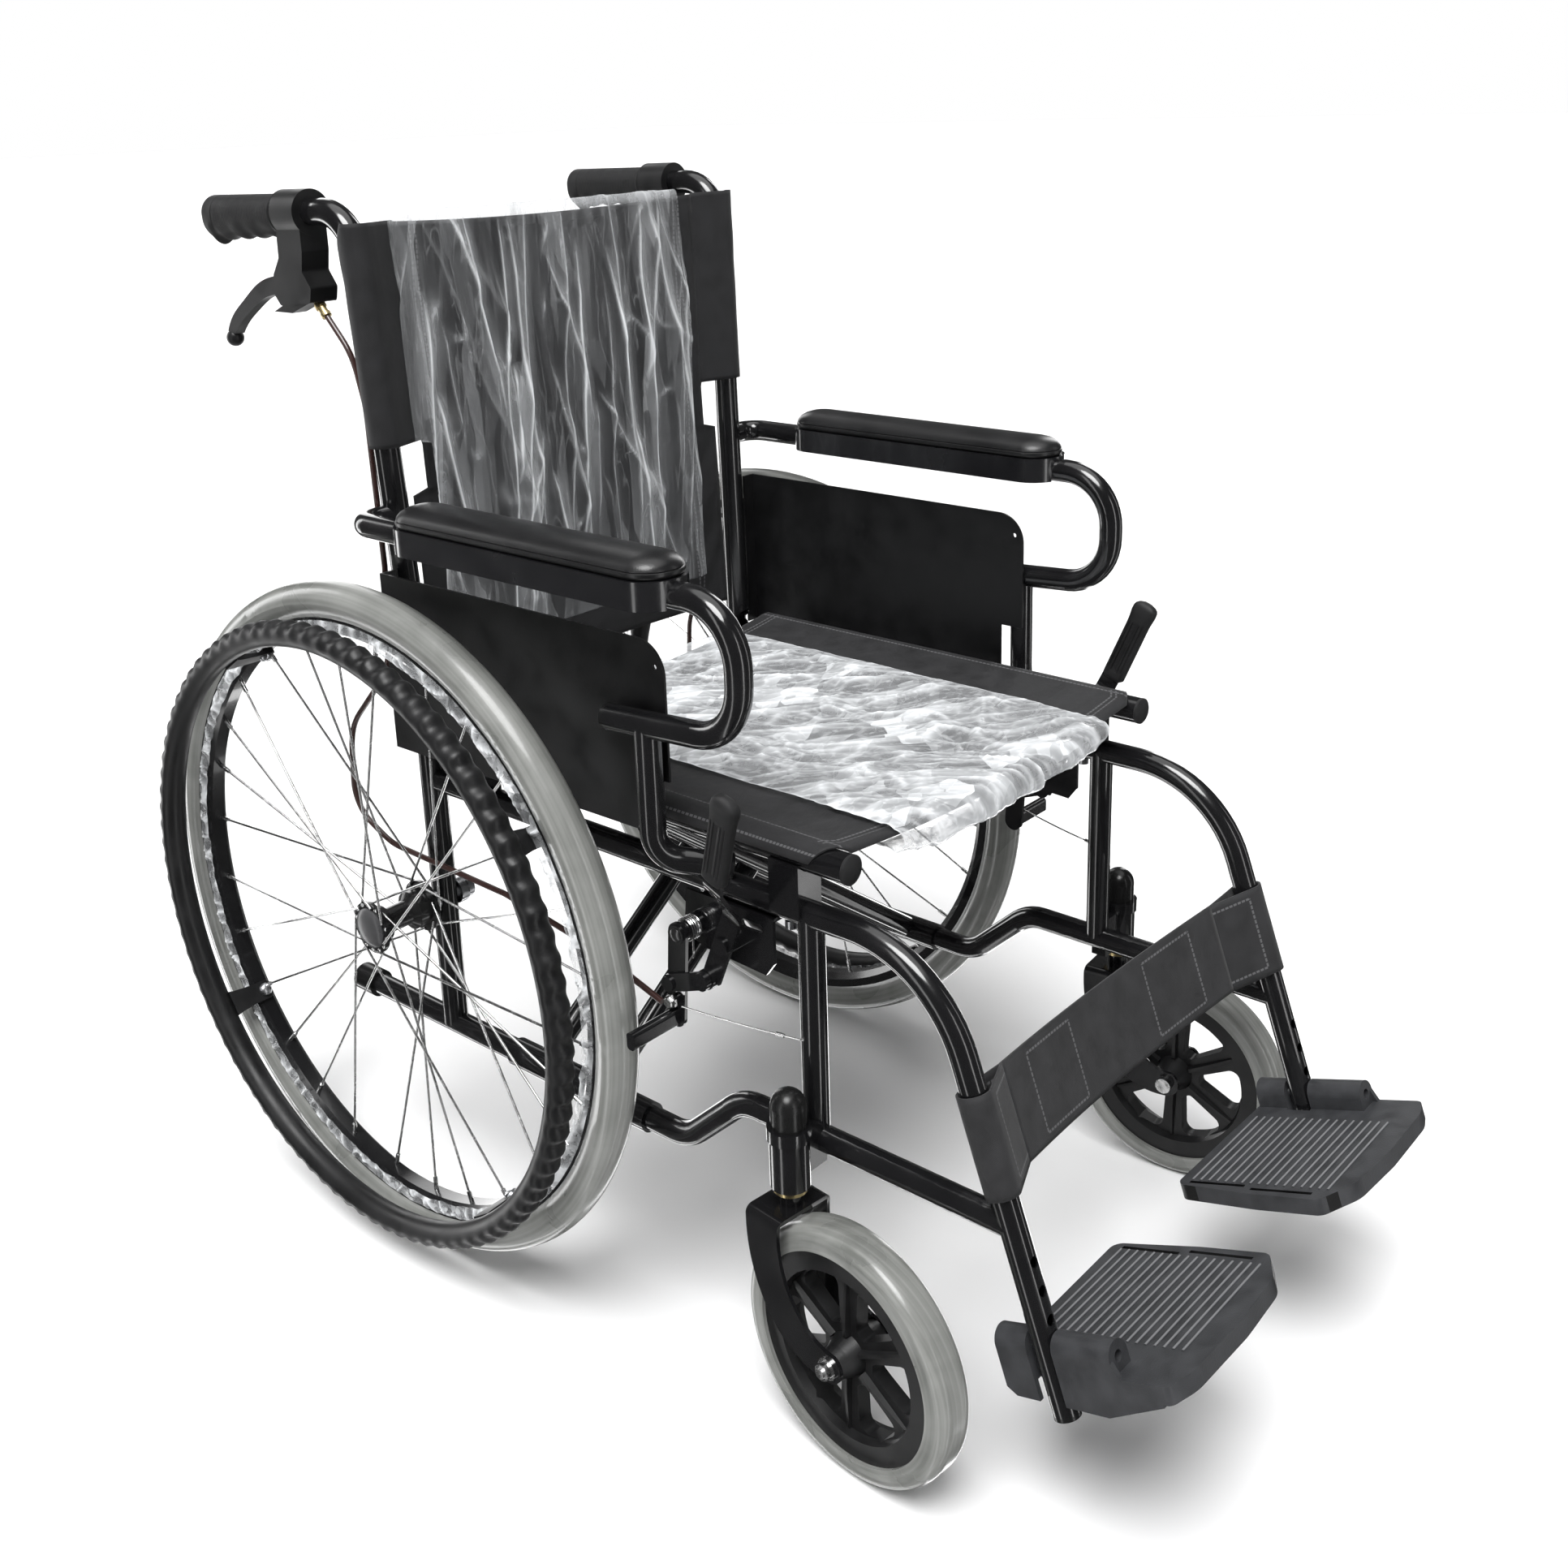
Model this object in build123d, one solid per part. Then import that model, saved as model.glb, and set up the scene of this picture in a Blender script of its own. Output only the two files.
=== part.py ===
from build123d import *

import os
from math import atan2, cos, degrees, hypot, pi, radians, sin, tan

# Folding manual wheelchair, in millimetres.
# +Z is up, +Y points to the rear (the attendant's side) and +X to the sitter's left.
# Every part of a side is drawn for the left (+X) side about the rear axle (y = 0) and mirrored for the right.
# On export all parts move forward-to-back by AXLE_Y, so that the origin is on the floor under the middle.

# ---------------------------------------------------------------- driving dimensions
AXLE_Y = 218.5            # rear axle behind the origin
FRAME_X = 197.5           # side-frame plane from the middle
TUBE_R = 10.0             # frame tube, outer radius
POST_R = 11.0             # back post and push handle, outer radius
SEAT_RAIL_R = 11.0
WALL = 1.5

LOWER_Z = 175.0           # lower rail, rear length
LOWER_FRONT_Z = 232.0     # lower rail, front length
UPPER_Z = 412.0           # upper rail
SEAT_Z = 456.5            # seat rails
UPRIGHT_Y = -426.6
HANGER_TOP_Y = -535.0     # where the upper rail's line meets the hanger's line
HANGER_LEAN = radians(19.5)
HANGER_BOTTOM_Z = 104.0

BACK_BASE_Z = 450.0       # the back posts lean from here
BACK_TOP = (209.5, 19.2, 890.0)
HANDLE_END = (209.5, 212.0, 885.0)

ARM_X = 240.0
ARM_Z = 645.0
ARM_POST_Y = -314.5

WHEEL_R = 300.0
WHEEL_X = 260.0
TYRE_R = 16.5             # tyre section
RIM_R = 274.0
RIM_INNER_R = 257.0
HAND_RIM_X = 302.0
HAND_RIM_R = 265.7
HAND_RIM_TUBE_R = 12.0
HUB_INNER_X = 220.5
HUB_OUTER_X = 276.5
FLANGE_R = 23.0
SPOKES = 28
SPOKE_R = 1.1
SPOKE_CIRCLE_R = 20.0
AXLE_R = 6.0

CASTER_X = 231.0
CASTER_Y = -428.5
CASTER_R = 100.0
CASTER_TRAIL = 62.5
CASTER_TOE = 5.7          # degrees the parked casters point outward
CASTER_WIDTH = 31.0
FORK_HALF = 27.0
FORK_TOP_Z = 194.5
STEM_R = 6.0
HOUSING_R = 15.0
HOUSING_Z = (209.0, 258.0)

BRACE_LEGS = {"right": (-120.0, -190.0), "left": (-145.0, -215.0)}
SLEEVE_Y = (-250.0, -85.0)
SEAT_RAIL_Y = (-462.5, -35.0)
SADDLES_Y = (-412.0, -62.0)

FIT = 0.05                # running clearance on a radius
GAP = 0.3                 # gap between neighbouring surfaces that don't touch

# ---------------------------------------------------------------- worked-out values
HANGER_UP = (0.0, sin(HANGER_LEAN), cos(HANGER_LEAN))
HANGER_BOTTOM = (FRAME_X, HANGER_TOP_Y - (UPPER_Z - HANGER_BOTTOM_Z) * tan(HANGER_LEAN), HANGER_BOTTOM_Z)
FOOT_PIVOT_UP = 49.0      # footplate pivot above the hanger's lower end, along the tube
MIDDLE_Z = (LOWER_Z + SEAT_Z) / 2


def along_hanger(distance):
    """Point on the hanger's centre line, a distance up from its lower end."""
    return tuple(base + distance * step for base, step in zip(HANGER_BOTTOM, HANGER_UP))


def back_post_at(z):
    """Centre (x, y) of the leaning back post at a height."""
    share = (z - BACK_BASE_Z) / (BACK_TOP[2] - BACK_BASE_Z)
    return FRAME_X + share * (BACK_TOP[0] - FRAME_X), share * BACK_TOP[1]


# ---------------------------------------------------------------- building blocks
def rod(points, radius, bends=None):
    """Round bar along straight runs joined by tangent bends."""
    path = FilletPolyline(*points, radius=bends) if bends else Line(*points)
    section = Plane(origin=path @ 0, z_dir=path % 0) * Circle(radius)
    return sweep(section, path=path)


def fuse(parts):
    """One part from a list of overlapping parts."""
    return parts[0].fuse(*parts[1:]) if len(parts) > 1 else parts[0]


def plate(outline, x_low, x_high):
    """Flat plate across X from a face drawn in (y, z)."""
    return extrude(Plane.YZ.offset(x_low) * outline, amount=x_high - x_low)


def pin_x(y, z, radius, x_low, x_high):
    """Round pin along X."""
    return plate(Pos(y, z) * Circle(radius), x_low, x_high)


def pin_y(x, z, radius, y_low, y_high):
    """Round pin along Y."""
    middle = Pos(x, (y_low + y_high) / 2, z) * Rot(90, 0, 0)
    return middle * Cylinder(radius, y_high - y_low)


def pin_z(x, y, radius, z_low, z_high):
    """Round pin along Z."""
    return Pos(x, y, (z_low + z_high) / 2) * Cylinder(radius, z_high - z_low)


def block(x_range, y_range, z_range):
    """Box between two corners."""
    size = [high - low for low, high in (x_range, y_range, z_range)]
    middle = [(high + low) / 2 for low, high in (x_range, y_range, z_range)]
    return Pos(*middle) * Box(*size)


def ring(profile):
    """Solid of revolution about the X axis from (x, radius) points."""
    face = Plane.XZ * make_face(Polyline(*profile, close=True))
    return revolve(face, axis=Axis.X)


def bar_outline(start, end, radius):
    """Flat bar with round ends, in a plane."""
    length = hypot(end[0] - start[0], end[1] - start[1])
    turn = degrees(atan2(end[1] - start[1], end[0] - start[0]))
    centre = ((start[0] + end[0]) / 2, (start[1] + end[1]) / 2)
    return Pos(*centre) * Rot(0, 0, turn) * SlotCenterToCenter(length, 2 * radius)


def route_radii(points, most=60.0):
    """Largest comfortable bend at each inner point of a cable's route."""
    radii = []
    for before, here, after in zip(points, points[1:], points[2:]):
        one = Vector(*here) - Vector(*before)
        two = Vector(*after) - Vector(*here)
        turn = radians(one.get_angle(two))
        radii.append(min(most, 0.45 * min(one.length, two.length) / tan(turn / 2)))
    return radii


# ---------------------------------------------------------------- side frame
def frame_runs():
    """Centre lines of the welded tubes: points, outer radius and bend radii."""
    arm_start = (*back_post_at(ARM_Z), ARM_Z)
    return [
        ([(FRAME_X, 0, LOWER_Z), (FRAME_X, 0, BACK_BASE_Z), BACK_TOP, HANDLE_END], POST_R, [90.0, 40.0]),
        ([(FRAME_X, 0, UPPER_Z), (FRAME_X, HANGER_TOP_Y, UPPER_Z), HANGER_BOTTOM], TUBE_R, [100.0]),
        ([(FRAME_X, 132, LOWER_Z), (FRAME_X, -292, LOWER_Z), (FRAME_X, -354, LOWER_FRONT_Z),
          (FRAME_X, -598, LOWER_FRONT_Z)], TUBE_R, [40.0, 40.0]),
        ([(FRAME_X, UPRIGHT_Y, UPPER_Z), (FRAME_X, UPRIGHT_Y, LOWER_FRONT_Z)], TUBE_R, None),
        ([arm_start, (ARM_X, 14, ARM_Z), (ARM_X, -405, ARM_Z), (ARM_X, -405, 549), (ARM_X, -277, 541)],
         TUBE_R, [18.0, 44.0, 44.0]),
        ([(ARM_X, ARM_POST_Y, 543), (ARM_X, ARM_POST_Y, 440), (FRAME_X, -352, 428)], TUBE_R, [26.0]),
    ]


def saddle(y):
    """Cradle on the upper rail that the seat rail rests in when the chair is open."""
    half_width = 12.5
    half_length = 14.0
    return block((FRAME_X - half_width, FRAME_X + half_width), (y - half_length, y + half_length),
                 (UPPER_Z, SEAT_Z - 4))


def side_frame():
    runs = frame_runs()
    tubes = [rod(points, radius, bends) for points, radius, bends in runs]
    bores = [rod(points, radius - WALL, bends) for points, radius, bends in runs]
    housing = pin_z(CASTER_X, CASTER_Y, HOUSING_R, *HOUSING_Z)
    collar = pin_z(CASTER_X, CASTER_Y, HOUSING_R + 1.5, HOUSING_Z[1] - 10, HOUSING_Z[1])
    bridge = block((FRAME_X, CASTER_X), (CASTER_Y - 7, CASTER_Y + 7), (214, 250))
    frame = fuse(tubes + [saddle(y) for y in SADDLES_Y] + [housing, collar, bridge])
    cradle = pin_y(FRAME_X, SEAT_Z, SEAT_RAIL_R + GAP, -500, 0)
    stem_hole = pin_z(CASTER_X, CASTER_Y, STEM_R + FIT, 200, 300)
    cap_recess = pin_z(CASTER_X, CASTER_Y, 11, 246, 300)
    axle_hole = pin_x(0, WHEEL_R, AXLE_R, 150, 215)
    holes = [foot_hole(FOOT_PIVOT_UP + up) for up in (0, 19, 40, 61)]
    return frame.cut(*bores, cradle, stem_hole, cap_recess, axle_hole, *holes)


def hanger_plane(distance):
    """Plane at a point of the hanger: x inboard, y forward and up, z up the tube."""
    return Plane(origin=along_hanger(distance), x_dir=(-1, 0, 0), z_dir=HANGER_UP)


def foot_hole(distance):
    """Hole through the hanger, square to the tube, fore and aft."""
    bolt_r = 4.0
    return hanger_plane(distance) * Rot(90, 0, 0) * Cylinder(bolt_r, 3 * TUBE_R)


def frame_bolts():
    """Axle bolt with its spacer and nut, footplate pivot bolt and the frame's screw heads."""
    axle = pin_x(0, WHEEL_R, AXLE_R, 178, 277.5)
    head = pin_x(0, WHEEL_R, 9.5, 171, 178)
    washer = pin_x(0, WHEEL_R, 11.5, 178, FRAME_X - POST_R)
    spacer = pin_x(0, WHEEL_R, 8.5, FRAME_X + POST_R - 1, HUB_INNER_X + GAP)
    nut = pin_x(0, WHEEL_R, 8.5, HUB_OUTER_X - 4.5 + GAP, 277)
    post = rod([(FRAME_X, 0, 200), (FRAME_X, 0, 400)], POST_R)
    bolt = fuse([axle, head, washer, spacer, nut]).cut(post) + axle
    pivot = hanger_plane(FOOT_PIVOT_UP) * Rot(90, 0, 0) * Pos(0, 0, -5) * Cylinder(4.0, 76)
    pads = [pin_z(ARM_X, y, 4.5, ARM_Z - TUBE_R - 3, ARM_Z - TUBE_R) for y in (-170, -275)]
    rails = [pin_z(FRAME_X, y, 5.0, UPPER_Z - TUBE_R - 6, UPPER_Z - TUBE_R) for y in (-408, -62)]
    brackets = [pin_z(FRAME_X, y, 4.5, UPPER_Z - TUBE_R - 8, UPPER_Z - TUBE_R - 3) for y in (-345, -380)]
    return Compound(children=[bolt, pivot, *pads, *rails, *brackets])


def frame_caps():
    """Dome on the caster housing and plugs in the open tube ends."""
    dome_r = 13.5
    dome = pin_z(CASTER_X, CASTER_Y, dome_r, HOUSING_Z[1], 274)
    dome = dome + Pos(CASTER_X, CASTER_Y, 274) * Sphere(dome_r)
    dome = dome & block((CASTER_X - 20, CASTER_X + 20), (CASTER_Y - 20, CASTER_Y + 20), (HOUSING_Z[1], 290))
    rail_tip = pin_y(FRAME_X, LOWER_Z, 12.8, 112, 138) - pin_y(FRAME_X, LOWER_Z, TUBE_R, 110, 132)
    arm_plug = Plane(origin=(ARM_X, -277, 541), z_dir=(0, 128, -8)) * Pos(0, 0, 1.5) * Cylinder(TUBE_R, 3)
    foot_plug = hanger_plane(0) * Pos(0, 0, -1.5) * Cylinder(TUBE_R, 3)
    return Compound(children=[dome, rail_tip, arm_plug, foot_plug])


# ---------------------------------------------------------------- rear wheel
def at_axle(part):
    return Pos(0, 0, WHEEL_R) * part


def rear_rim():
    web = RIM_R - 8
    half = 11.0
    lip = 2.0
    profile = [(-half, RIM_R), (lip - half, RIM_R), (lip - half, web), (half - lip, web), (half - lip, RIM_R),
               (half, RIM_R), (half, 263), (6, RIM_INNER_R), (-6, RIM_INNER_R), (-half, 263)]
    return at_axle(Pos(WHEEL_X, 0, 0) * ring(profile))


def rear_tyre():
    centre_r = WHEEL_R - TYRE_R
    section = Plane.XZ * (Pos(0, centre_r) * Circle(TYRE_R))
    torus = revolve(section, axis=Axis.X)
    seat = ring([(-11, 250), (11, 250), (11, RIM_R), (9, RIM_R), (9, RIM_R - 4), (-9, RIM_R - 4), (-9, RIM_R),
                 (-11, RIM_R)])
    skirt = ring([(-20, 250), (20, 250), (20, RIM_R - 4), (-20, RIM_R - 4)])
    return at_axle(Pos(WHEEL_X, 0, 0) * (torus - seat - skirt))


def rear_hub():
    inner, outer = HUB_INNER_X, HUB_OUTER_X
    profile = [(inner, 13), (inner, FLANGE_R), (inner + 3, FLANGE_R), (inner + 3.5, 17), (inner + 15, 17),
               (inner + 20, 11), (outer - 17, 11), (outer - 13, 15.5), (outer - 3.5, 15.5), (outer - 3, FLANGE_R),
               (outer, FLANGE_R), (outer, 13), (outer - 12.5, 13), (outer - 12.5, 8), (inner + 8.5, 8),
               (inner + 8.5, 13)]
    return at_axle(ring(profile))


def hub_bearings():
    width = 8.0
    bearings = []
    for low in (HUB_INNER_X + 0.5, HUB_OUTER_X - 12.5):
        race = ring([(low, AXLE_R + FIT), (low + width, AXLE_R + FIT), (low + width, 13), (low, 13)])
        bearings.append(at_axle(race))
    return Compound(children=bearings)


def spoke_ends(index):
    """Hub and rim ends of a spoke; neighbours on a flange lean opposite ways and cross."""
    per_side = SPOKES // 2
    outer = index >= per_side
    slot = index % per_side
    lean = radians(70.714) * (1 if (slot % 2 == 0) != outer else -1)
    hub_angle = 2 * pi * slot / per_side
    rim_angle = hub_angle + lean
    flange = HUB_OUTER_X - 1.5 if outer else HUB_INNER_X + 1.5
    hub_x = flange + (2.8 if slot % 2 == 0 else -2.8)
    rim_x = WHEEL_X + (2.0 if outer else -2.0)
    start = (hub_x, SPOKE_CIRCLE_R * cos(hub_angle), SPOKE_CIRCLE_R * sin(hub_angle))
    end = (rim_x, RIM_INNER_R * cos(rim_angle), RIM_INNER_R * sin(rim_angle))
    return Vector(*start), Vector(*end)


def spokes():
    """Spokes, each with its nipple at the rim."""
    nipple_r = 2.0
    nipple_length = 11.0
    children = []
    for index in range(SPOKES):
        start, end = spoke_ends(index)
        along = (end - start).normalized()
        wire = Plane(origin=start, z_dir=along) * Pos(0, 0, (end - start).length / 2) \
            * Cylinder(SPOKE_R, (end - start).length)
        nipple = Plane(origin=end, z_dir=along) * Pos(0, 0, -nipple_length / 2) \
            * Cylinder(nipple_r, nipple_length)
        children.append(at_axle(wire + nipple))
    return Compound(children=children)


def hand_rim():
    section = Plane.XZ * (Pos(HAND_RIM_X, HAND_RIM_R) * Circle(HAND_RIM_TUBE_R))
    return at_axle(revolve(section, axis=Axis.X))


def rim_standoffs():
    """Bolted stand-offs that hold the hand rim off the wheel."""
    count = 6
    circle_r = 264.0
    x_low = WHEEL_X + 11
    x_high = HAND_RIM_X - 10
    posts = []
    for index in range(count):
        angle = 2 * pi * (index + 0.35) / count
        posts.append(pin_x(circle_r * cos(angle), WHEEL_R + circle_r * sin(angle), 5.0, x_low, x_high))
    grooved = [post - hand_rim() for post in posts]
    return Compound(children=grooved)


# ---------------------------------------------------------------- caster
def at_stem(part):
    """Place a caster part drawn about its stem (forward is -Y)."""
    return Pos(CASTER_X, CASTER_Y, 0) * Rot(0, 0, CASTER_TOE) * part


def fork_outline():
    """Side shape of a fork leg, in (y from the stem, z)."""
    axle = (-CASTER_TRAIL, CASTER_R)
    end_r = 12.0
    front = Spline((-14, FORK_TOP_Z), (-13.5, 165), (-24, 137), (-44, 117), (axle[0] - 5, axle[1] + end_r - 1))
    nose = ThreePointArc((axle[0] - 5, axle[1] + end_r - 1), (axle[0] - end_r, axle[1] - 1),
                         (axle[0] - 3, axle[1] - end_r))
    rear = Spline((axle[0] - 3, axle[1] - end_r), (-38, 89), (-15, 100), (3, 120), (16, 150), (20, FORK_TOP_Z))
    top = Line((20, FORK_TOP_Z), (-14, FORK_TOP_Z))
    return make_face([front, nose, rear, top])


def caster_fork():
    sheet = 3.0
    body = plate(fork_outline(), -FORK_HALF, FORK_HALF)
    ridges = body.edges().filter_by(Axis.Y).sort_by(Axis.Z)[-2:]
    body = fillet(ridges, 6)
    body = body - block((sheet - FORK_HALF, FORK_HALF - sheet), (-120, 60), (0, FORK_TOP_Z - 4))
    shoulder = pin_z(0, 0, 9, FORK_TOP_Z - 2, HOUSING_Z[0] - GAP)
    stem = pin_z(0, 0, STEM_R, FORK_TOP_Z - 2, 250)
    nut = pin_z(0, 0, 9.5, 247, 254)
    fork = fuse([body, shoulder, stem, nut])
    return at_stem(fork - pin_x(-CASTER_TRAIL, CASTER_R, 4.0, -60, 60))


def at_caster(part):
    """Place a part drawn about the caster wheel's centre."""
    return at_stem(Pos(0, -CASTER_TRAIL, CASTER_R) * part)


def caster_window():
    """Opening between two spokes of the caster wheel, in (y, z)."""
    inner_r, outer_r = 24.0, 63.0
    inner_half, outer_half = radians(11), radians(21)
    corners = [(inner_r * cos(-inner_half), inner_r * sin(-inner_half)),
               (outer_r * cos(-outer_half), outer_r * sin(-outer_half)),
               (outer_r * 1.03, 0),
               (outer_r * cos(outer_half), outer_r * sin(outer_half)),
               (inner_r * cos(inner_half), inner_r * sin(inner_half))]
    face = make_face(Polyline(*corners, close=True))
    sharp = face.vertices().sort_by(Axis.X)
    face = fillet(sharp[0:2], 4.0)
    return fillet(face.vertices().sort_by(Axis.X)[-3:-1], 8.0)


def caster_wheel():
    half_hub = FORK_HALF - 3 - GAP
    half_web = 6.0
    half_rim = 12.5
    tyre_seat = 81.5
    body = ring([(-half_hub, 0), (-half_hub, 11), (-17, 13), (-half_web, 17), (-half_web, 64), (-half_rim, 66),
                 (-half_rim, tyre_seat), (half_rim, tyre_seat), (half_rim, 66), (half_web, 64), (half_web, 17),
                 (17, 13), (half_hub, 11), (half_hub, 0)])
    windows = [Rot(60 * step, 0, 0) * plate(caster_window(), -20, 20) for step in range(6)]
    bore = pin_x(0, 0, 4.0 + FIT, -40, 40)
    return at_caster(body.cut(*windows, bore))


def caster_tyre():
    half = CASTER_WIDTH / 2
    seat = 81.5
    section = Pos(0, (CASTER_R + seat) / 2) * Rectangle(CASTER_WIDTH, CASTER_R - seat)
    section = fillet(section.vertices().group_by(Axis.Y)[-1], 9.5)
    groove = Pos(0, seat) * Rectangle(25, 0.02)
    return at_caster(revolve(Plane.XZ * (section - groove), axis=Axis.X))


def caster_axle():
    shank = pin_x(0, 0, 4.0, -FORK_HALF - 3, FORK_HALF + 9)
    head = pin_x(0, 0, 7.0, -FORK_HALF - 6, -FORK_HALF)
    washer = pin_x(0, 0, 8.5, FORK_HALF, FORK_HALF + 2)
    nut = pin_x(0, 0, 6.5, FORK_HALF + 2, FORK_HALF + 7)
    return at_caster(fuse([shank, head, washer, nut]))


# ---------------------------------------------------------------- parking brake
LEVER_PIVOT = (-363.4, 377.3)
LEVER_PIN = (-349.5, 347.4)
LINK_PIN = (-313.5, 333.6)
SHOE_PIVOT = (-321.9, 375.8)
SHOE_FOOT = (-316.5, 306.0)
LEVER_X = (222.0, 225.0)
SHOE_X = (226.0, 229.0)
LINK_X = (229.5, 232.0)
LEVER_LEAN = atan2(60.3, 145.2)


def brake_bracket():
    """Angle bolted under the upper rail, with the two pivots."""
    web = plate(make_face(Polyline((-398, 402), (-312, 402), (-308, 366), (-330, 358), (-390, 355), (-398, 366),
                                   close=True)), 204, 207)
    slot = plate(bar_outline((-385, 391), (-371, 391), 3.5), 200, 210)
    flange = block((190, 205), (-398, -326), (399, 402))
    rail = pin_y(FRAME_X, UPPER_Z, TUBE_R, -420, -300)
    bosses = []
    for (y, z), reach in ((LEVER_PIVOT, LEVER_X), (SHOE_PIVOT, SHOE_X)):
        boss = pin_x(y, z, 7.5, 206, reach[0] - GAP)
        pin = pin_x(y, z, 4.0, 206, reach[1] + 0.2)
        bosses += [boss, pin]
    heads = [pin_x(*SHOE_PIVOT, 7.5, SHOE_X[1] + 0.2, SHOE_X[1] + 1.8),
             pin_x(*LEVER_PIVOT, 7.0, LEVER_X[1] + 0.2, LEVER_X[1] + 2.5)]
    return fuse([web, flange] + bosses + heads) - slot - rail


def lever_plane():
    """Plane through the lever pivot: x is +X, y runs up the lever."""
    up = (0, -sin(LEVER_LEAN), cos(LEVER_LEAN))
    across = (0, cos(LEVER_LEAN), sin(LEVER_LEAN))
    return Plane(origin=(0, *LEVER_PIVOT), x_dir=(1, 0, 0), z_dir=Vector(1, 0, 0).cross(Vector(*up)))


def lever_strap(thickness, width, points):
    """Bent flat bar that follows (x, height) points."""
    path = FilletPolyline(*points, radius=[14.0] * (len(points) - 2)) if len(points) > 2 else Line(*points)
    strip = trace(path, line_width=thickness)
    return extrude(lever_plane() * strip, amount=width / 2, both=True)


def lever_points():
    x = (LEVER_X[0] + LEVER_X[1]) / 2
    return [(x, -33.0), (x, 30.0), (260, 72), (277, 157)]


def brake_lever():
    strap = lever_strap(LEVER_X[1] - LEVER_X[0], 17.0, lever_points())
    hole = pin_x(*LEVER_PIVOT, 4.0 + FIT, 215, 230)
    pin = pin_x(*LEVER_PIN, 3.5, LEVER_X[1] - 1, LINK_X[1] + 0.2)
    head = pin_x(*LEVER_PIN, 7.0, LINK_X[1] + 0.2, LINK_X[1] + 3)
    boss = pin_x(*LEVER_PIN, 8.0, LEVER_X[0], LINK_X[0] - GAP)
    return fuse([strap, boss, pin, head]) - hole


def brake_grip():
    low, high = lever_points()[-2:]
    share = 0.14
    start = (low[0] + share * (high[0] - low[0]), low[1] + share * (high[1] - low[1]))
    end = (low[0] + 1.04 * (high[0] - low[0]), low[1] + 1.04 * (high[1] - low[1]))
    sleeve = lever_strap(11.0, 21.0, [start, end])
    sleeve = fillet(sleeve.edges(), 3.0)
    return sleeve - brake_lever()


def brake_link():
    link = plate(bar_outline(LEVER_PIN, LINK_PIN, 7.0), *LINK_X)
    rivet = pin_x(*LINK_PIN, 6.0, LINK_X[1] - 0.5, LINK_X[1] + 2)
    return link + rivet - pin_x(*LEVER_PIN, 3.5 + FIT, 220, 240)


def brake_shoe():
    arm = plate(bar_outline(SHOE_PIVOT, SHOE_FOOT, 9.0), *SHOE_X)
    boss = pin_x(*LINK_PIN, 6.0, SHOE_X[0], LINK_X[0] - GAP)
    foot = block((SHOE_X[0], 277), (-320.5, -312.5), (299, 313))
    foot = fillet(foot.edges().filter_by(Axis.X), 3.0)
    bolt = pin_x(SHOE_FOOT[0] - 1, SHOE_FOOT[1] + 15, 3.5, SHOE_X[1] - 0.5, SHOE_X[1] + 4)
    hole = pin_x(*SHOE_PIVOT, 4.0 + FIT, 220, 235)
    return fuse([arm, boss, foot, bolt]) - hole


# ---------------------------------------------------------------- push handle and attendant brake
HANDLE_X = HANDLE_END[0]
HAND_PIVOT = (112.5, 829.0)
CLAMP_Y = (74.0, 107.0)
GRIP_Y = (109.0, 217.0)


def handle_z(y):
    """Height of the push handle's centre line."""
    return BACK_TOP[2] + (HANDLE_END[2] - BACK_TOP[2]) * (y - BACK_TOP[1]) / (HANDLE_END[1] - BACK_TOP[1])


def on_handle(radius, y_low, y_high):
    return rod([(HANDLE_X, y_low, handle_z(y_low)), (HANDLE_X, y_high, handle_z(y_high))], radius)


def push_grip():
    sleeve = on_handle(15.5, *GRIP_Y)
    ridge = plate(make_face(Polyline((113, 885), (113, 868), (157, 866), (190, 863.5), (205, 859), (213, 868),
                                     (217, 885), close=True)), HANDLE_X - 9, HANDLE_X + 9)
    ridge = fillet(ridge.edges().filter_by(Axis.X), 3.0)
    return fuse([sleeve, ridge]) - on_handle(POST_R, GRIP_Y[0] - 5, HANDLE_END[1])


def brake_housing():
    half = 13.0
    clamp = on_handle(18.5, *CLAMP_Y)
    outline = Polyline((107, 885), (74, 885), (74, 858), (77, 842), (67, 829), (70, 817), (112, 813), (120, 822),
                       (118, 838), (108, 852), close=True)
    body = plate(make_face(outline), HANDLE_X - half, HANDLE_X + half)
    body = fillet(body.edges().filter_by(Axis.X), 3.0)
    tab = plate(make_face(Polyline((80, 816), (112, 815), (132, 806.5), (106, 806.5), close=True)),
                HANDLE_X - 7, HANDLE_X + 7)
    slot = block((HANDLE_X - 5.5, HANDLE_X + 5.5), (98, 130), (817.5, 846))
    pin = pin_x(*HAND_PIVOT, 2.5, HANDLE_X - half, HANDLE_X + half)
    bore = on_handle(POST_R, 50, 130)
    return fuse([fuse([clamp, body, tab]) - slot - bore, pin])


def hand_lever():
    thickness = 9.0
    upper = Spline((113, 836.5), (134, 835), (154.5, 829), (181, 813), (201.5, 798), (211, 785))
    lower = Spline((200, 783), (189, 793.5), (171, 805), (150, 816), (130, 820.5), (113, 821.5))
    outline = make_face([upper, Line((211, 785), (200, 783)), lower, Line((113, 821.5), (113, 836.5))])
    arm = plate(outline, HANDLE_X - thickness / 2, HANDLE_X + thickness / 2)
    root = pin_x(*HAND_PIVOT, 7.5, HANDLE_X - thickness / 2, HANDLE_X + thickness / 2)
    ball = Pos(HANDLE_X, 208, 779) * Sphere(7.5)
    return fuse([arm, root, ball]) - pin_x(*HAND_PIVOT, 2.5 + FIT, 190, 230)


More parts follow.
